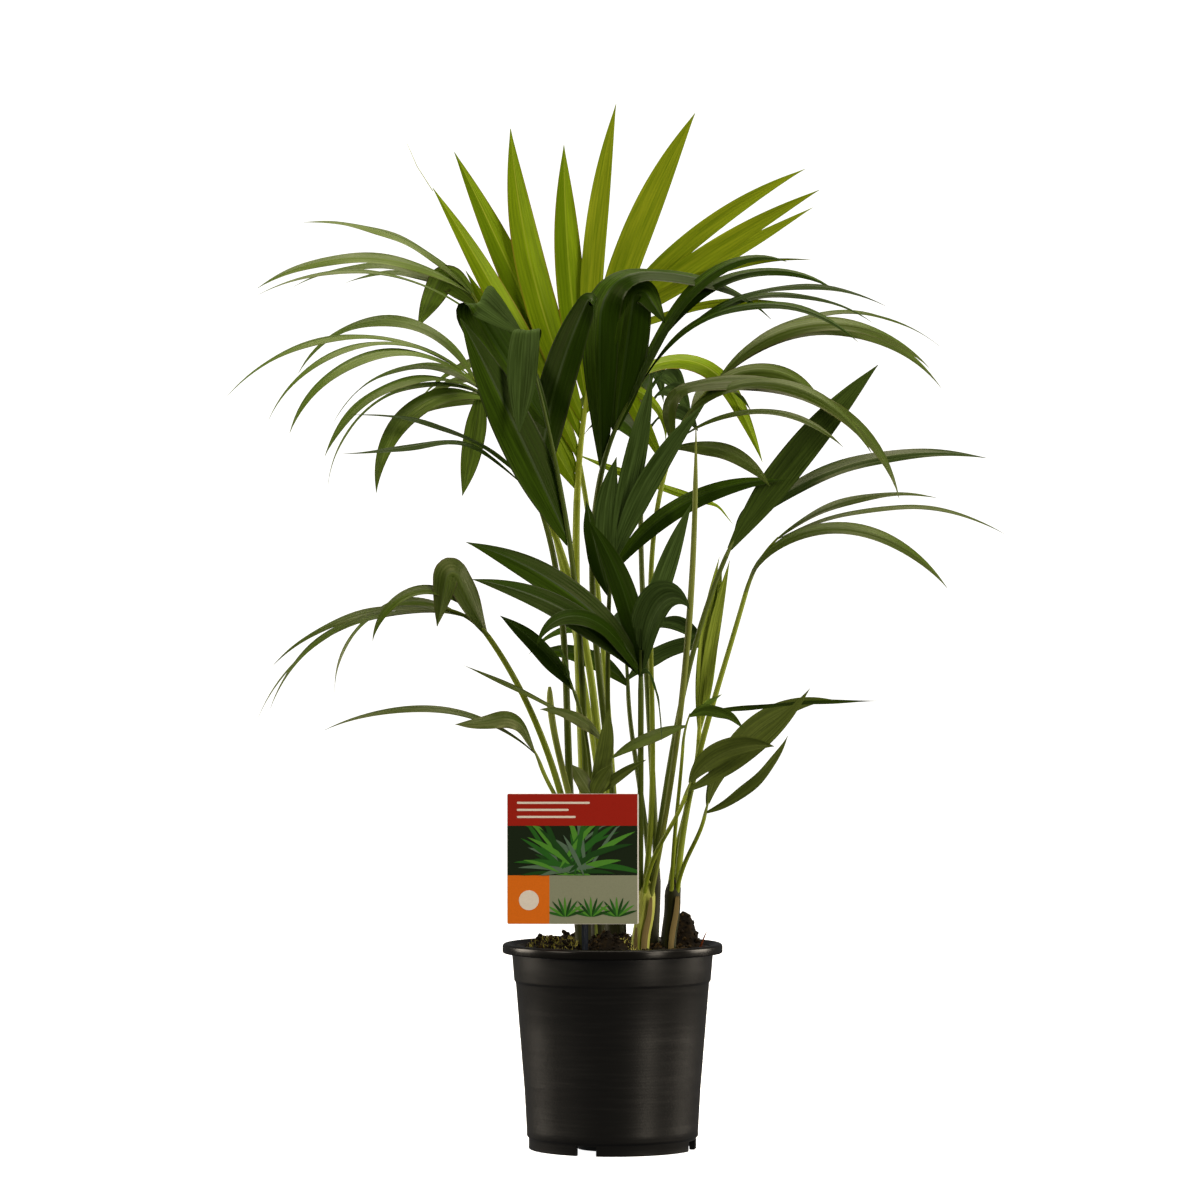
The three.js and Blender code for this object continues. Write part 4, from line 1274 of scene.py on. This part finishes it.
TWIG = ((0.0755, -0.006, 0.1735), (0.0775, -0.008, 0.179), (0.0795, -0.0085, 0.184), (0.081, -0.008, 0.187))
TWIG_RADII = (0.0009, 0.0008, 0.0006, 0.0003)
DAMP, FIBRE, MOSS, BARK = range(4)


def soil_height(pot, x, y):
    """The height of the soil's surface: a rough plain that sinks at the wall, and its heaps."""
    radius = math.hypot(x, y)
    wall = wall_inside(pot, pot.soil_level) - CLEARANCE
    height = pot.soil_level - SOIL_SAG * max(0.0, (radius - SOIL_EDGE) / (wall - SOIL_EDGE))
    for mound_x, mound_y, reach, top in MOUNDS:
        near = 1 - ((x - mound_x) ** 2 + (y - mound_y) ** 2) / reach**2
        height += top * max(0.0, near)
    rough = noise.fractal(Vector((x, y, 0)) * SOIL_CLODS, 0.9, 2.2, 5)
    inset = min(1.0, (wall - radius) / SOIL_SMOOTHING)
    return height + SOIL_ROUGHNESS * rough * inset - SOIL_DROP


def on_circle(radius, angle):
    return radius * math.cos(angle), radius * math.sin(angle)


def lump(corners, dice):
    """A crumb's corners: a small ball with every corner moved in or out."""
    spread = np.array([dice.uniform(0.65, 1.25) for _ in corners])
    return corners * spread[:, None]


def ball(subdivisions):
    form = bmesh.new()
    bmesh.ops.create_icosphere(form, subdivisions=subdivisions, radius=1)
    corners = np.array([tuple(v.co) for v in form.verts])
    faces = [[v.index for v in f.verts] for f in form.faces]
    form.free()
    return corners, faces


def random_turn(dice):
    axis = Vector((dice.gauss(0, 1), dice.gauss(0, 1), dice.gauss(0, 1))).normalized()
    return np.array(Matrix.Rotation(dice.uniform(0, math.tau), 3, axis))


class PALM_OT_soil(bpy.types.Operator):
    """Fills the pot with damp peat, with heaps, loose crumbs, moss and bits of root"""

    bl_idname = "palm.soil"
    bl_label = "Soil"

    def execute(self, context):
        pot = context.scene.palm_pot
        dice = random.Random(31)
        wall = wall_inside(pot, SOIL_WALL) - CLEARANCE
        pile = Pile()
        rows = []
        for i in range(SOIL_RINGS + 1):
            radius = wall * (i / SOIL_RINGS) + 1e-5
            ring = [on_circle(radius, math.tau * j / SOIL_SIDES) for j in range(SOIL_SIDES)]
            rows.append([(x, y, soil_height(pot, x, y)) for x, y in ring])
        rows.append([(x * SOIL_TAPER, y * SOIL_TAPER, SOIL_FOOT) for x, y, _ in rows[-1]])
        across = np.linspace(0, 1, SOIL_SIDES + 1)
        along = np.linspace(0, 1, len(rows))
        pile.loft(np.array(rows), across, along, DAMP)
        self.add_crumbs(pile, pot, dice, wall)
        self.add_moss(pile, pot, dice)
        self.add_roots(pile, pot, dice)
        tints = (
            peat("damp peat", tuple(pot.peat), tuple(pot.fibre), fleck=0.7),
            peat("dry peat fibre", tuple(pot.fibre), tuple(pot.peat), fleck=0.6),
            peat("moss on peat", tuple(pot.moss), tuple(pot.fibre), fleck=0.5),
            peat("red root bark", linear("#7a3a17"), linear("#4a2410"), fleck=0.6),
        )
        piece = pile.build("potting_soil", tints, sharp=70)
        place_on_plant(piece, "potting_soil", "soil")
        return {"FINISHED"}

    def add_crumbs(self, pile, pot, dice, wall):
        """Strews loose crumbs on the soil, some of them dry fibre."""
        corners, faces = ball(1)
        places = [[(0, 0)] * len(face) for face in faces]
        for _ in range(pot.crumbs):
            angle = dice.uniform(0, math.tau)
            x, y = on_circle((wall - 0.003) * math.sqrt(dice.uniform(0, 1)), angle)
            size = dice.uniform(*CRUMB_SIZES) * (1.5 if dice.random() < BIG_CRUMBS else 1)
            shape = lump(corners, dice) * (1, dice.uniform(0.5, 1), dice.uniform(0.5, 0.9))
            height = min(soil_height(pot, x, y) + size * 0.35, CRUMB_TOP)
            finish = FIBRE if dice.random() < FIBRE_CRUMBS else DAMP
            pile.add(shape @ random_turn(dice) * size + (x, y, height), faces, places, finish)

    def add_moss(self, pile, pot, dice):
        """Grows thin pointed strands on the moss spots."""
        faces = [[0, 2, 1], [0, 1, 3], [1, 2, 3], [2, 0, 3]]
        places = [[(0, 0)] * 3] * 4
        for spot_x, spot_y, reach in MOSS_SPOTS:
            for _ in range(MOSS_STRANDS):
                angle = dice.uniform(0, math.tau)
                far_x, far_y = on_circle(reach * math.sqrt(dice.random()), angle)
                x, y = spot_x + far_x, spot_y + far_y
                root = np.array((x, y, soil_height(pot, x, y) - 0.0006))
                lean = heading(dice.uniform(0, 360), dice.uniform(20, 80))
                tip = root + lean * dice.uniform(*MOSS_LENGTHS)
                foot = [root + heading(120 * k, 0) * dice.uniform(*MOSS_RADII) for k in range(3)]
                pile.add([*foot, tip], faces, places, MOSS)

    def add_roots(self, pile, pot, dice):
        """Lays short bent roots on the soil, and one red twig against the rim."""
        for _ in range(ROOTS):
            angle = dice.uniform(0, math.tau)
            start = np.array((*on_circle(dice.uniform(0.01, 0.072), angle), 0))
            course = dice.uniform(0, 360)
            reach = dice.uniform(*ROOT_LENGTHS)
            path = []
            for share in np.linspace(0, 1, ROOT_POINTS):
                spot = start + heading(course + 50 * share, 0) * reach * share
                lift = soil_height(pot, spot[0], spot[1]) + 0.0008 + 0.002 * math.sin(math.pi * share)
                path.append((spot[0], spot[1], lift))
            add_rod(pile, path, np.linspace(0.0005, 0.0002, ROOT_POINTS), 5, FIBRE)
        add_rod(pile, TWIG, TWIG_RADII, 6, BARK)


CARD_CENTRE = (-0.0338, -0.064, 0.253)
CARD_SIZE = (0.112, 0.111)
CARD_THICKNESS = 0.0011
CARD_CORNER = 0.0016
INK = 0.00012
PRINT_INSET = 0.0003
PRINT_MARGIN = 0.0012
HEAD_DEPTH = 0.027  # of the band across the card's top
PICTURE_FOOT = -0.014
FIELD_SPLIT = -0.02
DRAWN_LEAVES = 44
LEAF_STEPS = 12
TUFTS = (-0.008, 0.014, 0.036)
TUFT_LEAVES = 9
BARS = (0.62, 0.44, 0.5)  # each bar's length to the whole row's
BAR_ROW = 0.1
BAR_PITCH = 0.006
BAR_HALF = 0.0009
BAR_CORNER = 0.0008
DISC_CENTRE = (-0.0375, 0.02)
DISC_ACROSS = 0.017
PICK_X = -0.0235
PICK_WIDTH = 0.0055
PICK_DEPTH = 0.003
PICK_TOP = 0.262
PICK_SUNK = 0.02
INKS = {
    "white": "#eceae4",
    "red ink": "#a01c0a",
    "orange ink": "#e07010",
    "dark green ink": "#14220c",
    "grey green ink": "#8b9078",
    "leaf ink": "#26601a",
    "light leaf ink": "#4f8c2c",
    "deep leaf ink": "#1a4412",
    "grey leaf ink": "#56705a",
    "cream ink": "#e6ded2",
}
# Places in the row of inks. The leaves are printed in the four from FIRST_LEAF on.
WHITE, RED, ORANGE, DARK_GREEN, GREY_GREEN, FIRST_LEAF = range(6)
CREAM = 9


def flat_outline(pile, outline, front, depth, finish):
    """Adds a flat plate with an outline in card coordinates: x to the right and z up, in metres."""
    count = len(outline)
    middle_x, _, middle_z = CARD_CENTRE
    points = [(middle_x + x, front, middle_z + z) for x, z in outline]
    points += [(x, front + depth, z) for x, _, z in points]
    faces = [list(range(count)), list(range(2 * count - 1, count - 1, -1))]
    faces += [[(k + 1) % count, k, count + k, count + (k + 1) % count] for k in range(count)]
    places = [[(points[i][0], points[i][2]) for i in face] for face in faces]
    pile.add(points, faces, places, finish)


def rounded_rectangle(left, bottom, right, top, corner):
    outline = []
    for x, z, first in (
        (right - corner, top - corner, 0), (left + corner, top - corner, 90),
        (left + corner, bottom + corner, 180), (right - corner, bottom + corner, 270),
    ):
        outline += arc((x, z), corner, first, first + 90, 5)
    return outline


def drawn_leaf(foot, azimuth, reach, width, bend):
    """The outline of a long drawn leaf that bends as it runs from its foot."""
    left, right = [], []
    x, z = foot
    for i in range(LEAF_STEPS + 1):
        share = i / LEAF_STEPS
        turn = math.radians(azimuth + bend * share)
        half = width * math.sin(math.pi * min(1, share * 0.97 + 0.03)) ** 0.8 / 2
        left.append((x - half * math.sin(turn), z + half * math.cos(turn)))
        right.append((x + half * math.sin(turn), z - half * math.cos(turn)))
        x += reach / LEAF_STEPS * math.cos(turn)
        z += reach / LEAF_STEPS * math.sin(turn)
    return left + right[::-1]


def clipped(outline, left, bottom, right, top):
    """Keeps an outline within a printed field."""
    return [(min(max(x, left), right), min(max(z, bottom), top)) for x, z in outline]


class PALM_OT_label(bpy.types.Operator):
    """Makes the square card on its pick, with a plain printed design of leaves"""

    bl_idname = "palm.label"
    bl_label = "Label"

    def execute(self, context):
        half_width, half_height = CARD_SIZE[0] / 2, CARD_SIZE[1] / 2
        front = CARD_CENTRE[1] - CARD_THICKNESS / 2
        pile = Pile()
        outline = rounded_rectangle(-half_width, -half_height, half_width, half_height, CARD_CORNER)
        flat_outline(pile, outline, front, CARD_THICKNESS, WHITE)
        left, right = -half_width + PRINT_INSET, half_width - PRINT_MARGIN
        bottom, top = -half_height + PRINT_INSET, half_height - PRINT_INSET
        head = top - HEAD_DEPTH
        fields = (
            (left, head, right, top, RED),
            (left, PICTURE_FOOT, right, head, DARK_GREEN),
            (left, bottom, FIELD_SPLIT, PICTURE_FOOT, ORANGE),
            (FIELD_SPLIT, bottom, right, PICTURE_FOOT, GREY_GREEN),
        )
        for x0, z0, x1, z1, finish in fields:
            flat_outline(pile, [(x0, z0), (x1, z0), (x1, z1), (x0, z1)], front - INK, INK, finish)
        layer = front - 2 * INK
        self.print_leaves(pile, layer, (left, PICTURE_FOOT, right, head))
        self.print_tufts(pile, layer, (FIELD_SPLIT, bottom, right, PICTURE_FOOT))
        for k, share in enumerate(BARS):
            z = top - 0.0075 - BAR_PITCH * k
            start = left + 0.008
            bar = rounded_rectangle(start, z - BAR_HALF, start + share * BAR_ROW, z + BAR_HALF, BAR_CORNER)
            flat_outline(pile, bar, layer, INK, CREAM)
        disc = arc((DISC_CENTRE[0], bottom + DISC_CENTRE[1]), DISC_ACROSS / 2, 0, 345, 24)
        flat_outline(pile, disc, layer, INK, CREAM)
        inks = [coated_card(f"coated card, {ink}", linear(tint)) for ink, tint in INKS.items()]
        card = pile.build("label_print", inks, sharp=30)
        place_on_plant(card, "card", "label_card")
        self.make_pick(context.scene.palm_pot)
        return {"FINISHED"}

    def print_leaves(self, pile, layer, field):
        """Prints the large fan of leaves, each one a little nearer to the eye than the one before."""
        dice = random.Random(5)
        last = DRAWN_LEAVES - 1
        for k in range(DRAWN_LEAVES):
            azimuth = blend(4, 176, (k * 17 % DRAWN_LEAVES) / last) + dice.uniform(-3, 3)
            reach = dice.uniform(0.03, 0.068)
            bend = -26 * math.cos(math.radians(azimuth))
            foot = (dice.uniform(-0.016, 0.012), PICTURE_FOOT + dice.uniform(0, 0.008))
            leaf = drawn_leaf(foot, azimuth, reach, dice.uniform(0.0026, 0.0056), bend)
            flat_outline(pile, clipped(leaf, *field), layer - k * INK / 8, INK / 9, FIRST_LEAF + k % 4)

    def print_tufts(self, pile, layer, field):
        """Prints a row of small tufts of leaves."""
        foot = field[1] + 0.006
        for tuft in TUFTS:
            for k in range(TUFT_LEAVES):
                leaf = drawn_leaf((tuft + 0.0004 * k, foot), 160 - 17 * k, 0.017, 0.0022, 3 * (4 - k))
                flat_outline(pile, clipped(leaf, *field), layer - k * INK / 8, INK / 9, FIRST_LEAF + k % 3)

    def make_pick(self, pot):
        """The moulded pick behind the card: a flat stake with a rib down its face."""
        y = CARD_CENTRE[1] + CARD_THICKNESS / 2 + CLEARANCE + PICK_DEPTH / 2
        half, deep = PICK_WIDTH / 2, PICK_DEPTH / 2
        section = [(-half, -deep * 0.4), (-half * 0.4, -deep * 0.5), (-half * 0.25, -deep)]
        section += [(-x, z) for x, z in section[::-1]]
        section += [(half, deep), (-half, deep)]
        foot = pot.soil_level - PICK_SUNK
        rings = []
        for z, scale in ((foot, 0.9), (0.2, 1), (PICK_TOP - 0.002, 1), (PICK_TOP, 0.7)):
            rings.append([(PICK_X + aside * scale, y + behind * scale, z) for aside, behind in section])
        pile = Pile()
        pile.loft(np.array(rings), np.linspace(0, 0.016, len(section) + 1), (0, 0.05, 0.08, 0.09), 0)
        plastic = moulded_polypropylene("moulded polystyrene, blue black", linear("#141b26"), *WALL_FINISH)
        place_on_plant(pile.build("label_stake", [plastic], sharp=35), "pick_plastic", "label_pick")


# ---- Stems and stalks ----

STALK_SIDES = 14
STALK_STEPS = 44
ROOT_STEPS = 12
SHEATH_STEPS = 2  # how many of the stalk's steps its sheath clasps
SHEATH_FLARE = 1.55
SHEATH_END = 1.1
SUNK = 0.004  # how far stems and sheaths reach into the soil
STEM_SIDES = 20
STEM_STEPS = 16
STEM_NARROWING = 0.86
# The rounded top of a stem's core: height over its head, and radius to the head's.
STEM_CROWN = ((0.004, 0.8), (0.008, 0.66), (0.012, 0.45), (0.016, 0.18))
OLIVE_SKIN, DARK_SHADED_SKIN, DRY_SKIN = range(3)


def stalk_section(angle):
    """A stalk is round with a shallow channel along the side that faces the plant's middle."""
    from_channel = abs(angle % math.tau - math.pi)
    return 1 - 0.2 * math.exp(-((from_channel / 0.5) ** 2))


def add_stalk(pile, rod, arrival, finish, sheath, soil_level):
    """Adds a stalk and the sheath at its foot, which runs down its stem into the soil."""
    upper = stalk_path(rod, arrival, STALK_STEPS)
    lower = root_path(rod, soil_level - SUNK, ROOT_STEPS)[:-1]
    radii = blend(rod.radii[0], rod.radii[1], np.linspace(0, 1, STALK_STEPS + 1))
    flare = np.linspace(SHEATH_FLARE, SHEATH_END, ROOT_STEPS + SHEATH_STEPS) * rod.radii[0]
    stalk = np.vstack((lower[-1:], upper))
    clasp = np.vstack((lower, upper[:SHEATH_STEPS]))
    add_rod(pile, stalk, np.append(radii[0], radii), STALK_SIDES, finish, stalk_section)
    add_rod(pile, clasp, flare, STALK_SIDES, sheath, stalk_section)


# The dry sheaths on each stem: azimuth, half the angle they clasp, and height to the stem's.
DRY_SHEATHS = {
    "middle": ((292, 20, 1.1), (238, 14, 0.5)),
    "right": ((296, 22, 1.25),),
}
DRY_SUNK = 0.003
DRY_STEPS = 12
DRY_COLUMNS = 7
DRY_THICKNESS = 0.0005


class PALM_OT_stems(bpy.types.Operator):
    """Makes the six seedling stems: a core wrapped in old sheaths, some of them dry"""

    bl_idname = "palm.stems"
    bl_label = "Stems"

    def execute(self, context):
        pot = context.scene.palm_pot
        skins = (
            stalk_skin("stem skin, olive", linear("#808830"), linear("#b2b65a"), roughness=0.5),
            # Near-black: the stems' dark colour, deepened by painted shade at the plant's foot.
            stalk_skin("stem skin, dark, painted shade", linear("#1a1b08"), linear("#2c2e12"), roughness=0.6),
            stalk_skin("dry sheath", linear("#857548"), linear("#4e4226"), roughness=0.8),
        )
        for number, (name, stem) in enumerate(STEMS.items()):
            dice = random.Random(700 + number)
            pile = Pile()
            lifts, narrowings = np.array(STEM_CROWN).T
            core = stem_path(stem, STEM_STEPS, pot.soil_level - SUNK)
            path = np.vstack((core, core[-1] + np.outer(lifts, UP)))
            radii = np.linspace(stem.foot_radius, stem.head_radius * STEM_NARROWING, STEM_STEPS + 1)
            radii = np.concatenate((radii, stem.head_radius * narrowings))
            turn = dice.uniform(0, math.tau)

            def wrapped(angle, turn=turn):
                return 1 + 0.1 * (((angle + turn) * 3 / math.tau) % 1)

            skin = OLIVE_SKIN if SHEATH_LOOKS.get(name) == "young" else DARK_SHADED_SKIN
            add_rod(pile, path, radii, STEM_SIDES, skin, wrapped)
            for sheath in DRY_SHEATHS.get(name, ()):
                self.add_dry_sheath(pile, stem, sheath, pot.soil_level)
            piece = pile.build(f"seedling_stem_{name}", skins)
            place_on_plant(piece, "stem", f"stem_{name}")
        return {"FINISHED"}

    def add_dry_sheath(self, pile, stem, sheath, soil_level):
        """A torn strip of old sheath that still clasps the stem."""
        middle, spread = (math.radians(angle) for angle in sheath[:2])
        height = (stem.head[2] - soil_level) * sheath[2]
        foot = soil_level - DRY_SUNK
        course = stem_path(stem, 24, foot)
        rings = []
        for i in range(DRY_STEPS + 1):
            share = i / DRY_STEPS
            z = foot + height * share
            centre = np.array([np.interp(z, course[:, 2], course[:, axis]) for axis in range(3)])
            radius = blend(stem.foot_radius, stem.head_radius, share) * 1.12 + 0.0006 + 0.001 * share**4
            reach = spread * (1 - 0.75 * share**2.5)
            angles = [middle + reach * (2 * k / (DRY_COLUMNS - 1) - 1) for k in range(DRY_COLUMNS)]
            outer = [centre + (*on_circle(radius, a), 0) for a in angles]
            inner = [centre + (*on_circle(radius - DRY_THICKNESS, a), 0) for a in angles]
            rings.append(outer + inner[::-1])
        across = np.linspace(0, 0.03, 2 * DRY_COLUMNS + 1)
        pile.loft(np.array(rings), across, np.linspace(0, height, DRY_STEPS + 1), DRY_SKIN)


class PALM_OT_stalks(bpy.types.Operator):
    """Makes the long stalks that carry the fronds, with the sheaths at their feet"""

    bl_idname = "palm.stalks"
    bl_label = "Stalks"

    def execute(self, context):
        pot = context.scene.palm_pot
        for frond in FRONDS:
            pile = Pile()
            azimuth, rise = frond.rib[:2]
            add_stalk(pile, frond, heading(azimuth, rise), 0, 1, pot.soil_level)
            # Unless a stem is listed, its sheaths take the near-black tint, which includes painted shade at
            # the plant's foot.
            skins = [stalk_material(frond.kind), stalk_material(SHEATH_LOOKS.get(frond.stem, "old"))]
            piece = pile.build(f"frond_stalk_{frond.name}", skins)
            place_on_plant(piece, "stalk", f"stalk_{frond.name}")
        return {"FINISHED"}


SPEAR_STEPS = 60
STUB_STEPS = 30
STUB_TOP = (0.92, 0.75, 0.4)  # the rounded end: radius to the stub's own
SPROUT_STEPS = 50


class PALM_OT_spear(bpy.types.Operator):
    """Makes the closed spear of the next leaf, the cut stub and the youngest leaf"""

    bl_idname = "palm.spear"
    bl_label = "Spear, stub and youngest leaf"

    def execute(self, context):
        pot = context.scene.palm_pot
        leaf = context.scene.palm_leaf
        pile = Pile()
        path = stalk_path(SPEAR, UP, SPEAR_STEPS)
        shares = lengths_along(path) / lengths_along(path)[-1]
        radii = np.interp(shares, (0, SPEAR_BELLY, SPEAR_NECK, 1), SPEAR.radii)

        def folded(angle):
            return 1 + 0.16 * math.cos(2 * angle) - 0.22 * math.exp(-((angle - 1.2) ** 2) / 0.05)

        add_rod(pile, path, radii, 16, 0, folded)
        skin = stalk_skin("furled leaf skin", linear("#5a641e"), linear("#7c843a"), roughness=0.5)
        place_on_plant(pile.build("closed_spear", [skin]), "spear", "spear")

        pile = Pile()
        path = stalk_path(STUB, UP, STUB_STEPS)
        radii = np.linspace(*STUB.radii, STUB_STEPS + 1)
        radii[-len(STUB_TOP):] *= STUB_TOP
        add_rod(pile, path, radii, STALK_SIDES, 0)
        skin = stalk_skin("cut stalk skin", linear("#72802a"), linear("#98a054"), roughness=0.6)
        place_on_plant(pile.build("cut_stub", [skin]), "stub", "stalk_stub")

        pile = Pile()
        dice = random.Random(88)
        add_stalk(pile, SPROUT, UP, RIB, RIB, pot.soil_level)
        root = stalk_path(SPROUT, UP, SPROUT_STEPS)[round(SPROUT_STEPS * SPROUT_LOBES_AT)]
        for lobe in SPROUT_LOBES:
            add_leaflet(pile, root, lobe, leaf, dice)
        place_on_plant(pile.build("youngest_leaf", leaf_materials("grey")), "leaf_pale", "sprout")
        return {"FINISHED"}


# The dry thread that trails from the newest fan's first tip: start, middle and end.
THREAD = ((-0.1572, 0.061, 0.8315), (-0.171, 0.06, 0.853), (-0.1795, 0.06, 0.8725))
THREAD_RADIUS = 0.0004


class PALM_OT_blades(bpy.types.Operator):
    """Makes the blade of each frond: its rib and its pleated leaflets"""

    bl_idname = "palm.blades"
    bl_label = "Fronds"

    def execute(self, context):
        leaf = context.scene.palm_leaf
        for number, frond in enumerate(FRONDS):
            pile = Pile()
            add_blade(pile, frond, leaf, random.Random(100 + number))
            if frond.name == "newest_fan":
                add_rod(pile, THREAD, THREAD_RADIUS * np.array((1, 0.8, 0.4)), 6, RIB)
            skins = leaf_materials(FROND_LOOKS.get(frond.name, frond.kind))
            piece = pile.build(f"frond_blade_{frond.name}", skins)
            place_on_plant(piece, LEAF_SLOTS[frond.kind], f"blade_{frond.name}")
        return {"FINISHED"}


# ---- The stage ----

SENSOR_MM = 36
PLANT_MIDDLE = (0, 0, 0.45)
ROOM_RADIUS = 8.0
ROOM_SIDES = 64
COVE_HEIGHT = 2.5
ROOM_COVE = np.linspace(0, math.pi / 2, 9)[1:]
ROOM_DOME = np.linspace(0, math.pi / 2, 10)[1:]


def softbox(name, place, target, width, height, power, tint):
    """A large flat light that faces its target."""
    light = bpy.data.lights.new(name, "AREA")
    light.color = tint[:3]
    light.shape = "RECTANGLE"
    light.size = width
    light.size_y = height
    light.energy = power
    lamp = bpy.data.objects.new(name, light)
    lamp.location = place
    lamp.rotation_euler = (Vector(target) - Vector(place)).to_track_quat("-Z", "Y").to_euler()
    bpy.context.scene.collection.objects.link(lamp)


class PALM_OT_stage(bpy.types.Operator):
    """Sets up the camera, the seamless floor and the studio's softboxes"""

    bl_idname = "palm.stage"
    bl_label = "Studio"

    def execute(self, context):
        stage = context.scene.palm_stage
        camera = bpy.data.cameras.new("camera")
        camera.lens = stage.lens
        camera.sensor_width = SENSOR_MM
        camera.clip_end = 60
        eye = bpy.data.objects.new("camera", camera)
        eye.location = (-stage.offset, -stage.distance, stage.eye_level)
        eye.rotation_euler = (math.radians(90), 0, 0)
        context.scene.collection.objects.link(eye)
        context.scene.camera = eye

        self.make_room(tuple(stage.floor))
        middle, tint = PLANT_MIDDLE, tuple(stage.lamp)
        softbox("key softbox", (2.8, -2.2, 2.4), middle, 1.4, 1.6, stage.key_power, tint)
        softbox("strip softbox", (1.6, -1.6, 0.2), (0, 0, 0.09), 0.5, 0.6, stage.strip_power, tint)
        softbox("fill softbox", (-3.0, -1.8, 1.6), middle, 1.6, 2.0, stage.fill_power, tint)
        softbox("right softbox", (2.9, 0.7, 0.8), middle, 1.4, 1.5, stage.side_power, tint)
        softbox("left softbox", (-2.9, 0.8, 0.8), middle, 1.4, 1.5, stage.side_power, tint)
        softbox("top softbox", (0, 0.5, 3.0), (0, 0.1, 0), 2.4, 2.4, stage.top_power, tint)

        world = bpy.data.worlds.new("room")
        world.use_nodes = True
        background = world.node_tree.nodes["Background"]
        background.inputs["Color"].default_value = (1, 1, 1, 1)
        background.inputs["Strength"].default_value = stage.room
        context.scene.world = world
        context.scene.view_settings.view_transform = "Standard"
        return {"FINISHED"}

    def make_room(self, tint):
        """A white floor and wall all round, which the camera sees but the plant doesn't mirror."""
        profile = [(0.001, 0.0)] + [(ROOM_RADIUS * k / 12, 0.0) for k in range(1, 10)]
        for a in ROOM_COVE:
            profile.append((ROOM_RADIUS * (0.75 + 0.25 * math.sin(a)), COVE_HEIGHT * (1 - math.cos(a))))
        for a in ROOM_DOME:
            profile.append((ROOM_RADIUS * math.cos(a), COVE_HEIGHT + ROOM_RADIUS * math.sin(a)))
        mesh = lathed("studio_room", profile, ROOM_SIDES, merge=0.01, inward=True)
        mesh.materials.append(studio_paper("seamless paper", tint))
        room = finished_object("studio_room", mesh)
        room.visible_diffuse = False
        room.visible_glossy = False
        room.visible_shadow = False
        return room


# ---- The sidebar and the run ----


class PALM_PT_sidebar(bpy.types.Panel):
    bl_idname = "PALM_PT_sidebar"
    bl_label = "Potted palm"
    bl_space_type = "VIEW_3D"
    bl_region_type = "UI"
    bl_category = "Potted palm"

    def draw(self, context):
        for operator in OPERATORS:
            self.layout.operator(operator.bl_idname)
        for settings in (context.scene.palm_pot, context.scene.palm_leaf, context.scene.palm_stage):
            box = self.layout.box()
            for name in settings.__annotations__:
                box.prop(settings, name)


SETTINGS = (PotSettings, LeafSettings, StageSettings)
OPERATORS = (
    PALM_OT_pot,
    PALM_OT_soil,
    PALM_OT_label,
    PALM_OT_stems,
    PALM_OT_stalks,
    PALM_OT_blades,
    PALM_OT_spear,
    PALM_OT_stage,
)


def register():
    for settings in SETTINGS:
        bpy.utils.register_class(settings)
    for operator in OPERATORS:
        bpy.utils.register_class(operator)
    bpy.utils.register_class(PALM_PT_sidebar)
    bpy.types.Scene.palm_pot = PointerProperty(type=PotSettings)
    bpy.types.Scene.palm_leaf = PointerProperty(type=LeafSettings)
    bpy.types.Scene.palm_stage = PointerProperty(type=StageSettings)


def unregister():
    del bpy.types.Scene.palm_pot
    del bpy.types.Scene.palm_leaf
    del bpy.types.Scene.palm_stage
    bpy.utils.unregister_class(PALM_PT_sidebar)
    for group in (*OPERATORS, *SETTINGS):
        bpy.utils.unregister_class(group)


def main():
    register()
    bpy.ops.palm.stage()
    bpy.ops.palm.pot()
    bpy.ops.palm.soil()
    bpy.ops.palm.label()
    bpy.ops.palm.stems()
    bpy.ops.palm.stalks()
    bpy.ops.palm.blades()
    bpy.ops.palm.spear()


if __name__ == "__main__":
    main()
